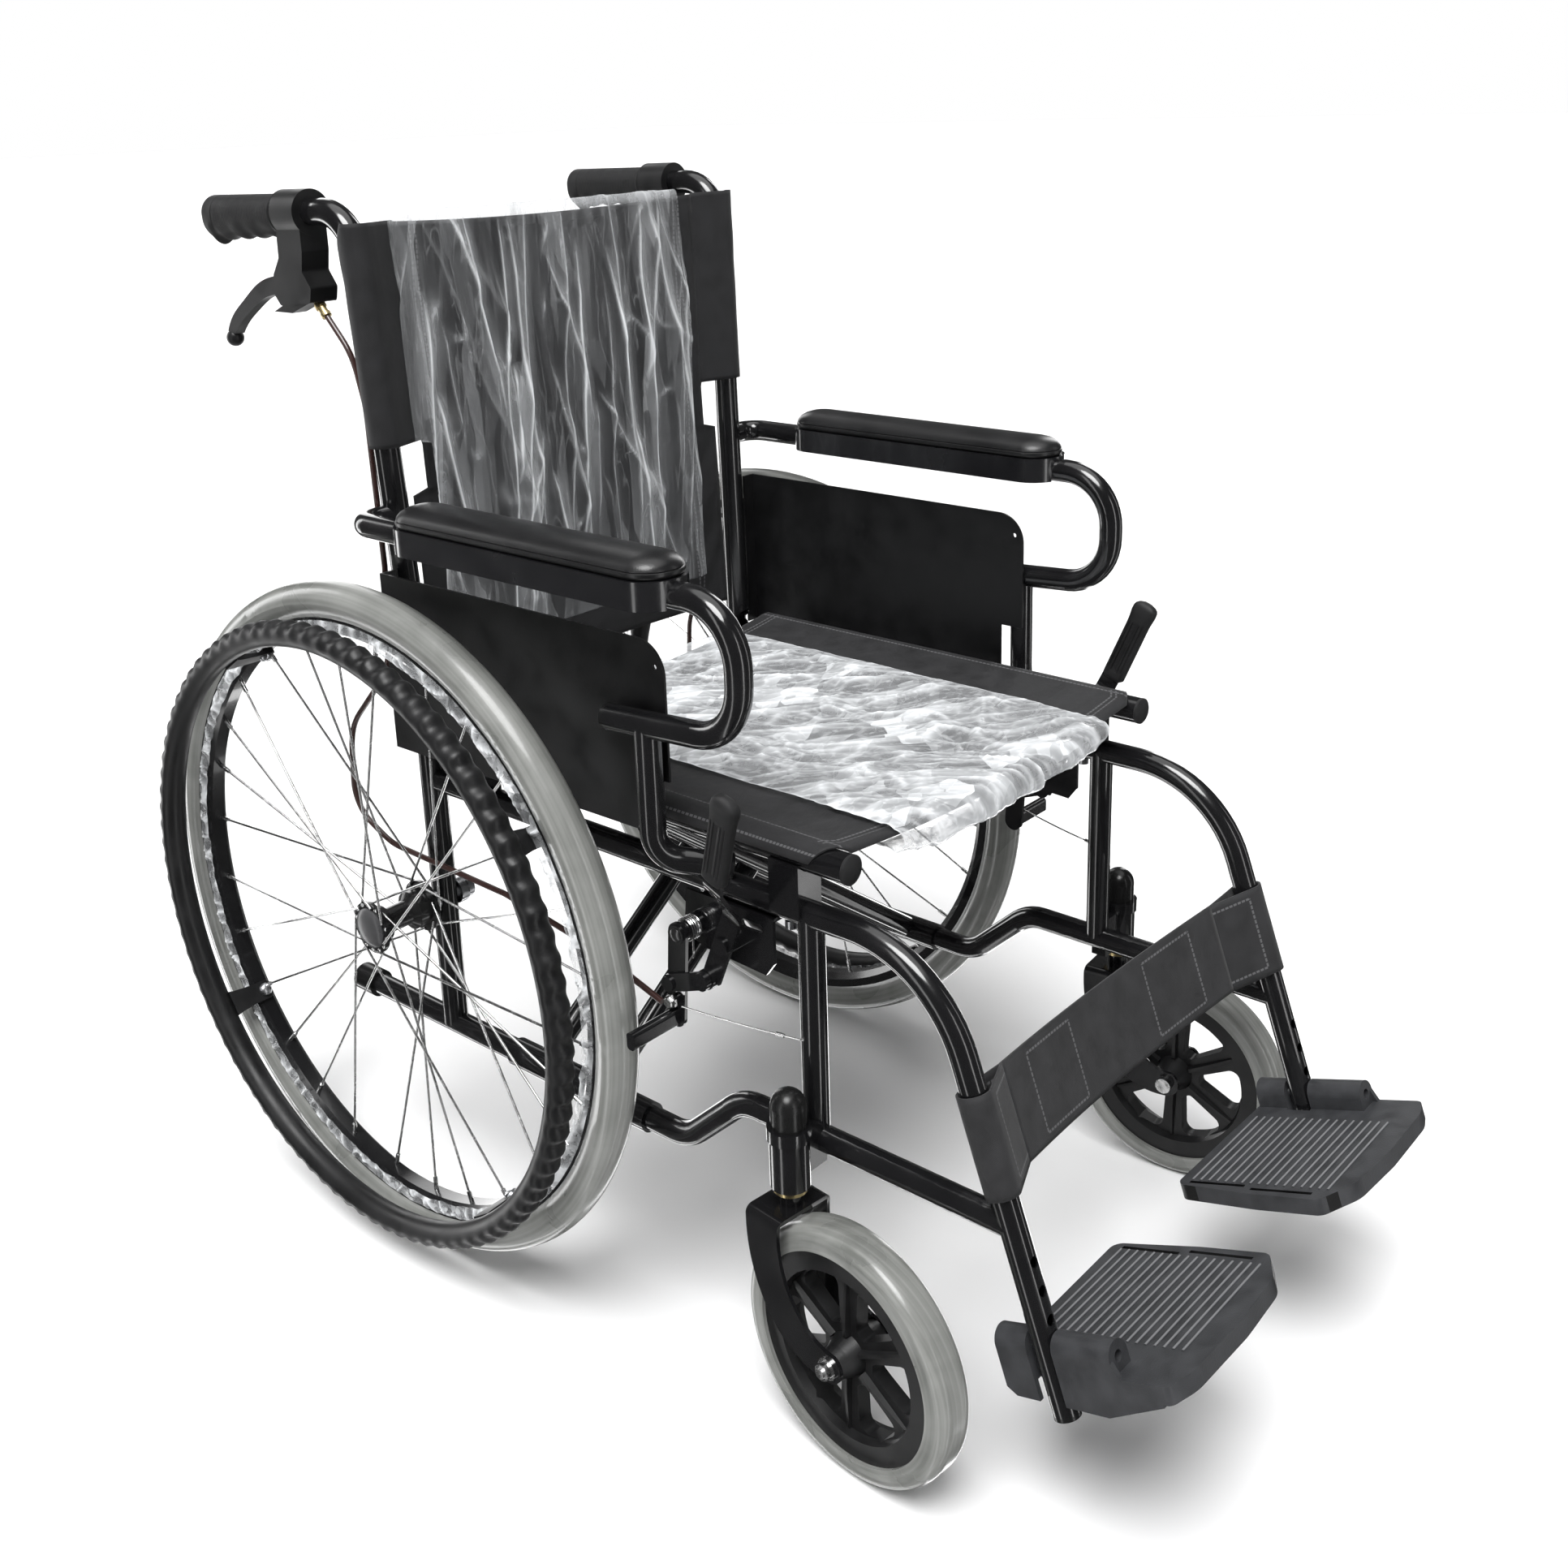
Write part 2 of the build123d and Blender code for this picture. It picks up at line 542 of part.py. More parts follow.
def cable_route():
    """Brake cable from the hand lever, down behind the post, round to the shoe's bolt."""
    return [(HANDLE_X, 76, 814.3), (209.5, 38, 776), (209, 27.5, 735), (208, 25, 600), (213, 25, 512),
            (216, 88, 445), (216.5, 94, 368), (216.5, 44, 345), (217, -110, 341), (220, -222, 327),
            (224, -297, 309)]


def brake_cable():
    route = cable_route()
    return rod(route, 2.5, route_radii(route))


# ---------------------------------------------------------------- armrest and side panel
TRAY_Y = (-352.0, -56.0)
TRAY_Z = (636.0, 657.0)


def arm_outline(inset):
    length = TRAY_Y[1] - TRAY_Y[0] - 2 * inset
    middle = (TRAY_Y[0] + TRAY_Y[1]) / 2
    return Pos(ARM_X, middle) * RectangleRounded(54 - 2 * inset, length, 26 - inset)


def arm_tray():
    tray = extrude(Plane.XY.offset(TRAY_Z[0]) * arm_outline(0), amount=TRAY_Z[1] - TRAY_Z[0])
    channel = block((ARM_X - TUBE_R, ARM_X + TUBE_R), (-400, 0), (600, ARM_Z))
    return tray - channel - pin_y(ARM_X, ARM_Z, TUBE_R, -400, 0)


def arm_pad():
    height = 16.0
    pad = extrude(Plane.XY.offset(TRAY_Z[1]) * arm_outline(1.5), amount=height)
    return fillet(pad.edges().group_by(Axis.Z)[-1], 12.0)


def side_panel():
    x_low, x_high = 227.4, 229.4
    outline = make_face(Polyline((3, 602), (-323, 602), (-323, 497), (-300, 497), (-300, 452), (3, 450),
                                 close=True))
    corner = outline.vertices().sort_by(Axis.X)[0:2].sort_by(Axis.Y)[-1]
    sheet = plate(fillet([corner], 26), x_low, x_high)
    rear = block((214.5, x_high), (1, 3), (450, 602))
    hole = pin_x(-314, 583, 2.0, 220, 235)
    return sheet + rear - hole


# ---------------------------------------------------------------- footplate
FOOT_TOP = -10.0          # tread below the pivot's axis
FOOT_THICK = 13.0
LUG_R = 11.0
LUG_REAR = (-37.0, -10.6)
LUG_FRONT = (10.6, 57.7)
RIB_COUNT = 17
RIB_PITCH = 7.3


def foot_outline():
    """Tread outline in the pivot's plane: x inboard, y forward."""
    corners = [(-11, -38), (150, -41), (157, 30), (158, 86), (128, 104), (75, 108), (10, 106), (-11, 98)]
    radii = [9, 9, 60, 9, 30, 90, 40, 6]
    return make_face(FilletPolyline(*corners, radius=radii, close=True))


def foot_skirt():
    """Outer wall, deep under the lugs and shallower toward the front."""
    profile = Polyline((-37, 0), (57.7, 0), (62, FOOT_TOP), (92, FOOT_TOP), (92, -25), (45, -40), (-30, -36),
                       (-37, -30), close=True)
    return plate(make_face(profile), -LUG_R, 4 - LUG_R)


def footplate():
    """Tread with a lug each side of the hanger, drawn in the pivot's own plane."""
    bottom = FOOT_TOP - FOOT_THICK
    slab = extrude(Plane.XY.offset(bottom) * foot_outline(), amount=FOOT_THICK)
    hollow = extrude(Plane.XY.offset(bottom) * offset(foot_outline(), -3.0), amount=FOOT_THICK - 3.5)
    lugs = []
    for low, high in (LUG_REAR, LUG_FRONT):
        lugs.append(Pos(0, (low + high) / 2, 0) * Rot(90, 0, 0) * Cylinder(LUG_R, high - low))
        lugs.append(block((-9, LUG_R), (low, high), (bottom, 0)))
    notch = block((-LUG_R - 1, 14), (LUG_REAR[1], LUG_FRONT[0]), (-60, 20))
    bore = Rot(90, 0, 0) * Cylinder(4.0 + FIT, 200)
    slots = [block((143.5, 147), (-31, 18), (-40, 0)), block((147.5, 151), (25, 77), (-40, 0))]
    body = fuse([slab - hollow, foot_skirt()] + lugs).cut(notch, bore, *slots)
    rib_r = 1.1
    ribs = [Pos(86, RIB_PITCH * index - 30, FOOT_TOP) * Rot(0, 90, 0) * Cylinder(rib_r, 112)
            for index in range(RIB_COUNT)]
    return hanger_plane(FOOT_PIVOT_UP) * fuse([body] + ribs)


# ---------------------------------------------------------------- folding braces
def brace(side):
    """Cross brace: sleeve on one lower rail, two legs, and the opposite seat rail."""
    leg_r = 10.0
    legs_y = BRACE_LEGS[side]
    foot = (FRAME_X, LOWER_Z)
    head = (-FRAME_X, SEAT_Z)
    legs = [[(foot[0], y, foot[1]), (head[0], y, head[1])] for y in legs_y]
    outer = [rod(points, leg_r) for points in legs]
    outer += [pin_y(*foot, TUBE_R + 2.6, *SLEEVE_Y), pin_y(*head, SEAT_RAIL_R, *SEAT_RAIL_Y)]
    bores = [rod(points, leg_r - WALL) for points in legs]
    bores += [pin_y(*foot, TUBE_R + FIT, -300, -60), pin_y(*head, SEAT_RAIL_R - WALL, -500, 0),
              pin_y(0, MIDDLE_Z, 4.0 + FIT, -240, -90)]
    return fuse(outer).cut(*bores)


def cross_bolt():
    ends = (-235.0, -100.0)
    shank = pin_y(0, MIDDLE_Z, 4.0, *ends)
    head = pin_y(0, MIDDLE_Z, 7.5, ends[0] - 5, ends[0] + 1)
    nut = pin_y(0, MIDDLE_Z, 7.0, ends[1] - 6, ends[1])
    return fuse([shank, head, nut])


# ---------------------------------------------------------------- fabric
def seat_sling():
    """Seat fabric over the two seat rails."""
    inner = SEAT_RAIL_R + GAP
    outer = inner + 2.2
    y_low, y_high = SEAT_RAIL_Y[0] + 4, SEAT_RAIL_Y[1] - 3
    wraps = []
    for side in (1, -1):
        x = side * FRAME_X
        wrap = pin_y(x, SEAT_Z, outer, y_low, y_high) - pin_y(x, SEAT_Z, inner, y_low - 1, y_high + 1)
        keep = block(sorted((x, x + side * 20)), (y_low, y_high), (SEAT_Z, SEAT_Z + 20))
        wraps.append(wrap & keep)
    sheet = block((-FRAME_X, FRAME_X), (y_low, y_high), (SEAT_Z + inner, SEAT_Z + outer))
    return fuse([sheet] + wraps)


def back_frame(z):
    """Plane square to the left back post, at a height."""
    x, y = back_post_at(z)
    lean = Vector(BACK_TOP[0] - FRAME_X, BACK_TOP[1], BACK_TOP[2] - BACK_BASE_Z)
    return Plane(origin=(x, y, z), z_dir=lean)


def back_sling():
    """Back fabric: a sleeve over each post, the panel between them and a narrower flap below."""
    inner = POST_R + GAP
    outer = inner + 2.2
    sleeve_z = (702.0, 852.0)
    height = sleeve_z[1] - sleeve_z[0]
    middle = back_frame(sum(sleeve_z) / 2)
    ring_left = middle * (Cylinder(outer, height) - Cylinder(inner, height + 2))
    lean = atan2(BACK_TOP[1], BACK_TOP[2] - BACK_BASE_Z)
    flap_z = (480.0, 712.0)

    def panel(low, high, half_low, half_high):
        corners = [(-half_low, low), (half_low, low), (half_high, high), (-half_high, high)]
        face = make_face(Polyline(*corners, close=True))
        return extrude(Plane((0, 0, BACK_BASE_Z), x_dir=(1, 0, 0), z_dir=(0, -cos(lean), sin(lean))) * face,
                       amount=1.1, both=True)

    upper = panel(sleeve_z[0] - BACK_BASE_Z, sleeve_z[1] - BACK_BASE_Z, back_post_at(702)[0] - 11.8,
                  back_post_at(852)[0] - 11.8)
    lower = panel(flap_z[0] - BACK_BASE_Z, flap_z[1] - BACK_BASE_Z, 178, 178)
    ring_right = mirror(ring_left, about=Plane.YZ)
    sling = fuse([upper, lower, ring_left, ring_right])
    route = cable_route()
    channel = rod(route, 2.5 + GAP, route_radii(route))
    return sling.cut(channel, mirror(channel, about=Plane.YZ))


def calf_strap():
    """Strap behind the legs: a loop round each hanger and the band between them."""
    low, high = 158.0, 232.0
    inner = TUBE_R + GAP
    outer = inner + 1.8
    middle = hanger_plane((low + high) / 2)
    loop = middle * (Cylinder(outer, high - low) - Cylinder(inner, high - low + 2))
    band = middle * Pos(FRAME_X, 0, 0) * Box(2 * (FRAME_X - inner - 0.5), 2.0, high - low)
    return fuse([band, loop, mirror(loop, about=Plane.YZ)])


# ---------------------------------------------------------------- export
SIDE_PARTS = {
    "side_frame": side_frame, "frame_bolts": frame_bolts, "frame_caps": frame_caps,
    "rear_tyre": rear_tyre, "rear_rim": rear_rim, "rear_hub": rear_hub, "hub_bearings": hub_bearings,
    "spokes": spokes, "hand_rim": hand_rim, "rim_standoffs": rim_standoffs,
    "caster_fork": caster_fork, "caster_wheel": caster_wheel, "caster_tyre": caster_tyre,
    "caster_axle": caster_axle, "brake_bracket": brake_bracket, "brake_lever": brake_lever,
    "brake_lever_grip": brake_grip, "brake_link": brake_link, "brake_shoe": brake_shoe,
    "push_grip": push_grip, "brake_housing": brake_housing, "hand_lever": hand_lever,
    "brake_cable": brake_cable, "arm_tray": arm_tray, "arm_pad": arm_pad, "side_panel": side_panel,
    "footplate": footplate,
}


def save(name, part):
    """Write a part's solids, moved from the axle's origin to the middle of the floor."""
    solids = [Pos(0, AXLE_Y, 0) * solid for solid in part.solids()]
    export_step(solids[0] if len(solids) == 1 else Compound(solids), f"parts/{name}.step")


os.makedirs("parts", exist_ok=True)
for label, make in SIDE_PARTS.items():
    left = make()
    save(f"left_{label}", left)
    save(f"right_{label}", mirror(left, about=Plane.YZ))
save("left_cross_brace", brace("left"))
save("right_cross_brace", mirror(brace("right"), about=Plane.YZ))
save("cross_bolt", cross_bolt())
save("seat_sling", seat_sling())
save("back_sling", back_sling())
save("calf_strap", calf_strap())
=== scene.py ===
import math
import random

import bpy
import numpy as np
from mathutils import Matrix, Vector, noise


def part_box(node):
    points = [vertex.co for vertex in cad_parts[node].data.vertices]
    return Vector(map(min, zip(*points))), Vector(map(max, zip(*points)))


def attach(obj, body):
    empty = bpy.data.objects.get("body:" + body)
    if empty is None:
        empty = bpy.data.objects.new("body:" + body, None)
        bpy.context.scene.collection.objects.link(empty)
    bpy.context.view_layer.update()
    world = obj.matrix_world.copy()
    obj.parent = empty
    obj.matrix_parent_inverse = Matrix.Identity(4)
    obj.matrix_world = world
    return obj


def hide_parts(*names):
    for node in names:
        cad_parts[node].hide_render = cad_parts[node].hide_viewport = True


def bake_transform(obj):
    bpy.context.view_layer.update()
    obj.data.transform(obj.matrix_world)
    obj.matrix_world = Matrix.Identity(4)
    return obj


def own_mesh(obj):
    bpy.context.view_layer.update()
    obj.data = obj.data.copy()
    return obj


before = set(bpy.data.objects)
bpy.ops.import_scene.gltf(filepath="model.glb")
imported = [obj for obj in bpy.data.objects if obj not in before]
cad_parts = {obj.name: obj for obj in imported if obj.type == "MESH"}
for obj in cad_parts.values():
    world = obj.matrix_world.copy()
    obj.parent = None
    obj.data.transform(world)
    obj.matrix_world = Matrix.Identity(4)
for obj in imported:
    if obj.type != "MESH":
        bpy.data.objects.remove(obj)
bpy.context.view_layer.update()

# Folding manual wheelchair, in metres, in the CAD's frame: +Z up, +Y to the rear, +X to the sitter's left.
# Paired pieces are drawn for the left (+X) side and mirrored.
SIDES = {"left": 1, "right": -1}


def middle(node):
    low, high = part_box(node)
    return (low + high) / 2


AXLE = middle("left_rear_tyre")
RAIL_X = 0.1975
HANGER_UP = Vector((0, math.sin(math.radians(19.5)), math.cos(math.radians(19.5))))
HANGER_FRONT = Vector((0, -HANGER_UP.z, HANGER_UP.y))
HANGER_FOOT = Vector((RAIL_X, AXLE.y - 0.64407, 0.104))
FOOT_PIVOT = HANGER_FOOT + HANGER_UP * 0.049


# ---------------------------------------------------------------- looks
class Nodes:
    """Short ways to add nodes to a shader's tree."""

    def __init__(self, tree):
        self.tree = tree
        self.coords = self.add("TexCoord")

    def add(self, kind, **settings):
        node = self.tree.nodes.new("ShaderNode" + kind)
        for key, value in settings.items():
            setattr(node, key, value)
        return node

    def feed(self, node, values):
        """Set or link a node's inputs by name or number."""
        for key, value in values.items():
            if isinstance(value, bpy.types.NodeSocket):
                self.tree.links.new(value, node.inputs[key])
            else:
                node.inputs[key].default_value = value
        return node

    def math(self, operation, *values):
        return self.feed(self.add("Math", operation=operation), dict(enumerate(values))).outputs[0]

    def times(self, one, two):
        return self.math("MULTIPLY", one, two)

    def split(self, vector):
        """The X, Y and Z of a vector, by name."""
        return self.feed(self.add("SeparateXYZ"), {0: vector}).outputs

    def spread(self, value, low, high, start=0.3, end=0.7):
        """Map start..end of a value onto low..high."""
        return self.feed(self.add("MapRange"), {0: value, 1: start, 2: end, 3: low, 4: high}).outputs[0]


class Look(Nodes):
    """A procedural material."""

    def __init__(self, name, colour, roughness, **sockets):
        self.material = bpy.data.materials.new(name)
        self.material.use_nodes = True
        super().__init__(self.material.node_tree)
        self.shader = self.tree.nodes["Principled BSDF"]
        self.place = self.coords.outputs["Object"]
        values = {socket.replace("_", " "): value for socket, value in sockets.items()}
        self.feed(self.shader, {"Base Color": (*colour, 1), "Roughness": roughness, **values})

    def scaled(self, place, stretch):
        return self.feed(self.add("Mapping"), {"Vector": place, "Scale": stretch}).outputs[0]

    def noise(self, scale, detail=3.0, distortion=0.0, stretch=(1, 1, 1), place=None):
        values = {"Vector": self.scaled(place or self.place, stretch), "Scale": scale, "Detail": detail,
                  "Distortion": distortion}
        return self.feed(self.add("TexNoise"), values).outputs["Fac"]

    def facets(self, scale, stretch):
        """Flat-sided patches of random brightness at two sizes, their borders bent a little; film uses them
        as painted light and shade on its crumpled facets.
        """
        flat = self.scaled(self.place, stretch)
        bend = self.feed(self.add("TexNoise"), {"Vector": flat, "Scale": scale * 0.5, "Detail": 2.0})
        bent = self.add("VectorMath", operation="MULTIPLY_ADD")
        self.feed(bent, {0: bend.outputs["Color"], 1: (0.9 / scale,) * 3, 2: flat})
        values = []
        for size in (1.0, 2.3):
            node = self.add("TexVoronoi")
            self.feed(node, {"Vector": bent.outputs[0], "Scale": scale * size})
            values.append(self.split(node.outputs["Color"])["X"])
        small = self.math("MULTIPLY_ADD", values[1], 1.3, 0.35)
        return self.times(self.math("POWER", values[0], 1.2), small)

    def cells(self, scale, feature="F1"):
        node = self.add("TexVoronoi", feature=feature)
        return self.feed(node, {"Vector": self.place, "Scale": scale}).outputs["Distance"]

    def blend(self, factor, one, two):
        node = self.add("Mix", data_type="RGBA")
        colours = [value if isinstance(value, bpy.types.NodeSocket) else (*value, 1) for value in (one, two)]
        return self.feed(node, {0: factor, 6: colours[0], 7: colours[1]}).outputs[2]

    def colour(self, factor, one, two):
        self.feed(self.shader, {"Base Color": self.blend(factor, one, two)})

    def rough(self, factor, low, high):
        self.feed(self.shader, {"Roughness": self.spread(factor, low, high)})

    def bump(self, height, strength, distance, below=None):
        values = {"Height": height, "Strength": strength, "Distance": distance}
        if below is not None:
            values["Normal"] = below
        node = self.feed(self.add("Bump"), values)
        self.feed(self.shader, {"Normal": node.outputs[0]})
        return node.outputs[0]


def tint(colour, share):
    return [share * part for part in colour]


def paint(name, colour, roughness=0.16):
    """Glossy enamel with faint orange peel."""
    look = Look(name, colour, roughness, Coat_Weight=0.6, Coat_Roughness=0.06)
    cloud = look.noise(24)
    look.colour(cloud, colour, [1.6 * part + 0.002 for part in colour])
    look.rough(cloud, roughness * 0.8, roughness * 1.5)
    look.bump(look.noise(420, 2), 0.08, 0.0004)
    return look.material


def plastic(name, colour, roughness=0.45, grain=900, depth=0.12):
    """Moulded plastic with a fine spark-eroded grain."""
    look = Look(name, colour, roughness, Specular_IOR_Level=0.36)
    cloud = look.noise(38, 4)
    look.colour(look.spread(cloud, 0, 1), tint(colour, 0.8), tint(colour, 1.35))
    look.rough(cloud, roughness - 0.07, roughness + 0.1)
    look.bump(look.cells(grain), depth, 0.0003)
    return look.material


def tread(name, colour, rib_highlight, shade):
    """Footplate plastic: rib tops painted pale as a highlight, and painted shade inside the two slots."""
    look = Look(name, colour, 0.45, Specular_IOR_Level=0.36)
    split = look.split(look.place)
    inboard = look.math("SUBTRACT", RAIL_X, look.math("ABSOLUTE", split["X"]))
    height = look.math("MULTIPLY_ADD", split["Y"], HANGER_UP.y, look.times(split["Z"], HANGER_UP.z))
    height = look.math("SUBTRACT", height, FOOT_PIVOT.dot(HANGER_UP))
    # Painted highlight: the rib tops are made pale, as if lit from above.
    above = look.spread(height, 0.0, 1.0, -0.0098, -0.0091)
    ribbed = look.times(above, look.math("COMPARE", inboard, 0.086, 0.058))
    # Painted shade: the slot walls are made near black.
    slot_wall = look.math("COMPARE", inboard, 0.1473, 0.0045)
    slot_wall = look.times(slot_wall, look.math("LESS_THAN", height, -0.0102))
    cloud = look.noise(60, 4)
    base = look.blend(look.spread(cloud, 0, 1), tint(colour, 0.8), tint(colour, 1.3))
    look.feed(look.shader, {"Base Color": look.blend(slot_wall, look.blend(ribbed, base, rib_highlight), shade)})
    look.rough(cloud, 0.38, 0.52)
    look.bump(look.cells(800), 0.2, 0.0003)
    return look.material


def rubber(name, colour, roughness=0.62):
    look = Look(name, colour, roughness, Specular_IOR_Level=0.4)
    dust = look.noise(70, 5)
    look.colour(look.spread(dust, 0, 1), colour, tint(colour, 1.7))
    look.rough(dust, roughness - 0.1, roughness + 0.12)
    look.bump(look.noise(1300, 3), 0.2, 0.0003)
    return look.material


def vinyl(name, colour):
    """Soft grained vinyl with shallow puckers."""
    look = Look(name, colour, 0.34, Coat_Weight=0.15, Coat_Roughness=0.25)
    puckers = look.noise(26, 2)
    look.colour(puckers, colour, tint(colour, 1.5))
    look.rough(puckers, 0.3, 0.42)
    low = look.bump(puckers, 0.25, 0.002)
    look.bump(look.cells(520, "DISTANCE_TO_EDGE"), 0.22, 0.0005, low)
    return look.material


def tyre(name, centre):
    """Grey cast polyurethane, slightly cloudy, with faint bands that run round its axle."""
    pale, dark = (0.27, 0.275, 0.262), (0.15, 0.155, 0.145)
    look = Look(name, pale, 0.3, Subsurface_Weight=0.12, Coat_Weight=0.35, Coat_Roughness=0.12)
    look.shader.inputs["Subsurface Radius"].default_value = (0.004, 0.004, 0.004)
    from_axle = look.add("VectorMath", operation="SUBTRACT")
    look.feed(from_axle, {0: look.place, 1: (0, centre.y, centre.z)})
    split = look.split(from_axle.outputs[0])
    squares = look.math("ADD", look.math("POWER", split["Y"], 2), look.math("POWER", split["Z"], 2))
    ring = look.feed(look.add("CombineXYZ"), {0: look.math("SQRT", squares), 1: split["X"]})
    bands = look.spread(look.noise(240, 3, place=ring.outputs[0]), -0.5, 0.5, 0.35, 0.65)
    cloud = look.noise(16, 4, 0.6)
    look.colour(look.math("MULTIPLY_ADD", bands, 0.7, look.spread(cloud, 0.1, 0.9)), dark, pale)
    look.rough(cloud, 0.22, 0.42)
    look.bump(look.noise(140, 3, 0.4), 0.12, 0.0008)
    return look.material


def metal(name, colour, roughness=0.28):
    look = Look(name, colour, roughness, Metallic=1.0)
    smear = look.noise(160, 4)
    look.colour(smear, tint(colour, 0.8), colour)
    look.rough(smear, roughness - 0.08, roughness + 0.12)
    look.bump(look.noise(700, 2), 0.1, 0.0002)
    return look.material


STITCH_HALF, STITCH_PITCH, THREAD_PITCH = 0.0009, 0.0042, 0.0011


def fabric(name, colour, seams=()):
    """Coated nylon: a plain weave on the cut sheet's own metres, with rows of stitches.
    A seam is (axis, distance from the middle, where it starts and ends on the other axis)."""
    look = Look(name, colour, 0.66, Sheen_Weight=0.08, Sheen_Roughness=0.5, Specular_IOR_Level=0.35)
    split = look.split(look.coords.outputs["UV"])
    across, along = split["X"], split["Y"]
    thread = 2 * math.pi / THREAD_PITCH
    warp = look.math("SINE", look.times(across, thread))
    weft = look.math("SINE", look.times(along, thread))
    weave = look.times(warp, weft)
    uneven = look.noise(55, 4)
    shade = look.blend(look.spread(uneven, 0, 1), colour, tint(colour, 1.7))
    height = look.math("ADD", look.times(weave, 0.3), look.noise(120, 3))
    for axis, at, start, end in seams:
        off, run = (across, along) if axis == "across" else (along, across)
        off_seam = look.math("SUBTRACT", look.math("ABSOLUTE", off), at)
        near = look.math("LESS_THAN", look.math("ABSOLUTE", off_seam), STITCH_HALF)
        inside = look.math("COMPARE", look.math("ABSOLUTE", run), (start + end) / 2, (end - start) / 2)
        dash = look.math("LESS_THAN", look.math("FRACT", look.times(run, 1 / STITCH_PITCH)), 0.72)
        inside_seam = look.times(near, inside)
        stitch = look.times(inside_seam, dash)
        shade = look.blend(stitch, shade, (0.1, 0.1, 0.104))
        height = look.math("SUBTRACT", height, look.times(inside_seam, 2.2))
    look.feed(look.shader, {"Base Color": shade})
    look.rough(uneven, 0.55, 0.75)
    look.bump(height, 0.35, 0.0006)
    return look.material


def film(name, stretch, veil, facet_light, scale):
    """Clear wrapping film: nearly clear face on, with painted reflection that whitens it at a slant, painted
    highlights along the mesh's creases and fine wrinkles, and patches of painted light and shade.
    """
    look = Look(name, (0.84, 0.86, 0.88), 0.1, IOR=1.5)
    # Patches of painted light and shade on the crumpled facets.
    facets = look.facets(scale, stretch)
    # Painted highlight strength stored on each point, mostly along the creases.
    crest = look.feed(look.add("Attribute", attribute_name="crest"), {}).outputs["Fac"]
    fine = look.noise(scale, 3, 0.5, stretch)
    # Thin lines of painted highlight along fine wrinkles.
    wrinkle_highlight = look.spread(look.math("ABSOLUTE", look.math("SUBTRACT", fine, 0.5)), 1, 0, 0.0, 0.014)
    broad = look.noise(scale * 0.3, 3, 0.8, stretch)
    light_patches = look.times(facets, look.spread(broad, 0.35, 1.0, 0.35, 0.65))
    # Painted reflection: the film is whiter at a slant.
    slant = look.feed(look.add("LayerWeight"), {"Blend": 0.5}).outputs["Facing"]
    slant_reflection = look.times(look.math("POWER", slant, 3), 0.3)
    base = look.math("ADD", look.math("MULTIPLY_ADD", light_patches, facet_light, veil), slant_reflection)
    highlight_lines = look.math("MULTIPLY_ADD", wrinkle_highlight, 0.1, look.times(crest, 0.9))
    look.feed(look.shader, {"Alpha": look.math("MINIMUM", look.math("ADD", base, highlight_lines), 0.97)})
    look.bump(fine, 0.3, 0.004)
    return look.material


BLACK_PAINT = paint("black_paint", (0.0045, 0.0045, 0.005))
RIM_PAINT = paint("rim_paint", (0.006, 0.006, 0.0065), 0.2)
HUB_PAINT = paint("hub_paint", (0.006, 0.006, 0.006), 0.24)
TRAY_PLASTIC = paint("tray_plastic", (0.007, 0.007, 0.008), 0.2)
CABLE_PLASTIC = paint("cable_plastic", (0.03, 0.012, 0.01), 0.25)
BLACK_PLASTIC = plastic("black_plastic", (0.009, 0.009, 0.0095), 0.4)
PANEL = plastic("panel_paint", (0.006, 0.006, 0.0065), 0.4, 500, 0.1)
CAP_PLASTIC = plastic("cap_plastic", (0.008, 0.008, 0.008), 0.22, 900, 0.04)
# Footplate: the pale rib tops are a painted highlight, and the near-black slot walls are painted shade.
TREAD = tread("footplate_tread", (0.036, 0.037, 0.04), (0.17, 0.172, 0.178), (0.001, 0.001, 0.001))
BLACK_RUBBER = rubber("black_rubber", (0.008, 0.008, 0.0085))
REAR_TYRE = tyre("rear_tyre", middle("left_rear_tyre"))
CASTER_TYRE = tyre("caster_tyre", middle("left_caster_tyre"))
BLACK_VINYL = vinyl("black_vinyl", (0.006, 0.006, 0.0065))
STEEL = metal("zinc_steel", (0.66, 0.67, 0.69))
BRIGHT_STEEL = metal("bright_steel", (0.8, 0.8, 0.8), 0.2)
BRASS = metal("brass", (0.62, 0.5, 0.26), 0.3)

NODE_LOOKS = {
    "side_frame": BLACK_PAINT, "frame_bolts": STEEL, "frame_caps": CAP_PLASTIC, "rear_tyre": REAR_TYRE,
    "rear_rim": RIM_PAINT, "rear_hub": HUB_PAINT, "hub_bearings": STEEL, "spokes": BRIGHT_STEEL,
    "hand_rim": BLACK_PLASTIC, "caster_fork": BLACK_PAINT, "caster_wheel": BLACK_PLASTIC,
    "caster_tyre": CASTER_TYRE, "caster_axle": BRIGHT_STEEL, "brake_bracket": BLACK_PAINT,
    "brake_lever": BLACK_PAINT, "brake_lever_grip": BLACK_RUBBER, "brake_link": BLACK_PAINT,
    "brake_shoe": BLACK_PAINT,
    "push_grip": BLACK_RUBBER, "brake_housing": BLACK_PLASTIC, "hand_lever": BLACK_PLASTIC,
    "brake_cable": CABLE_PLASTIC, "arm_tray": TRAY_PLASTIC, "arm_pad": BLACK_VINYL, "side_panel": PANEL,
    "footplate": TREAD, "cross_brace": BLACK_PAINT,
}


def dress(node, material):
    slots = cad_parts[node].data.materials
    slots.clear()
    slots.append(material)


for label, material in NODE_LOOKS.items():
    for side in SIDES:
        dress(f"{side}_{label}", material)
dress("cross_bolt", STEEL)


# ---------------------------------------------------------------- shapes
def circle(steps):
    """Angles evenly spaced round a circle."""
    return np.linspace(0, 2 * math.pi, steps, endpoint=False)


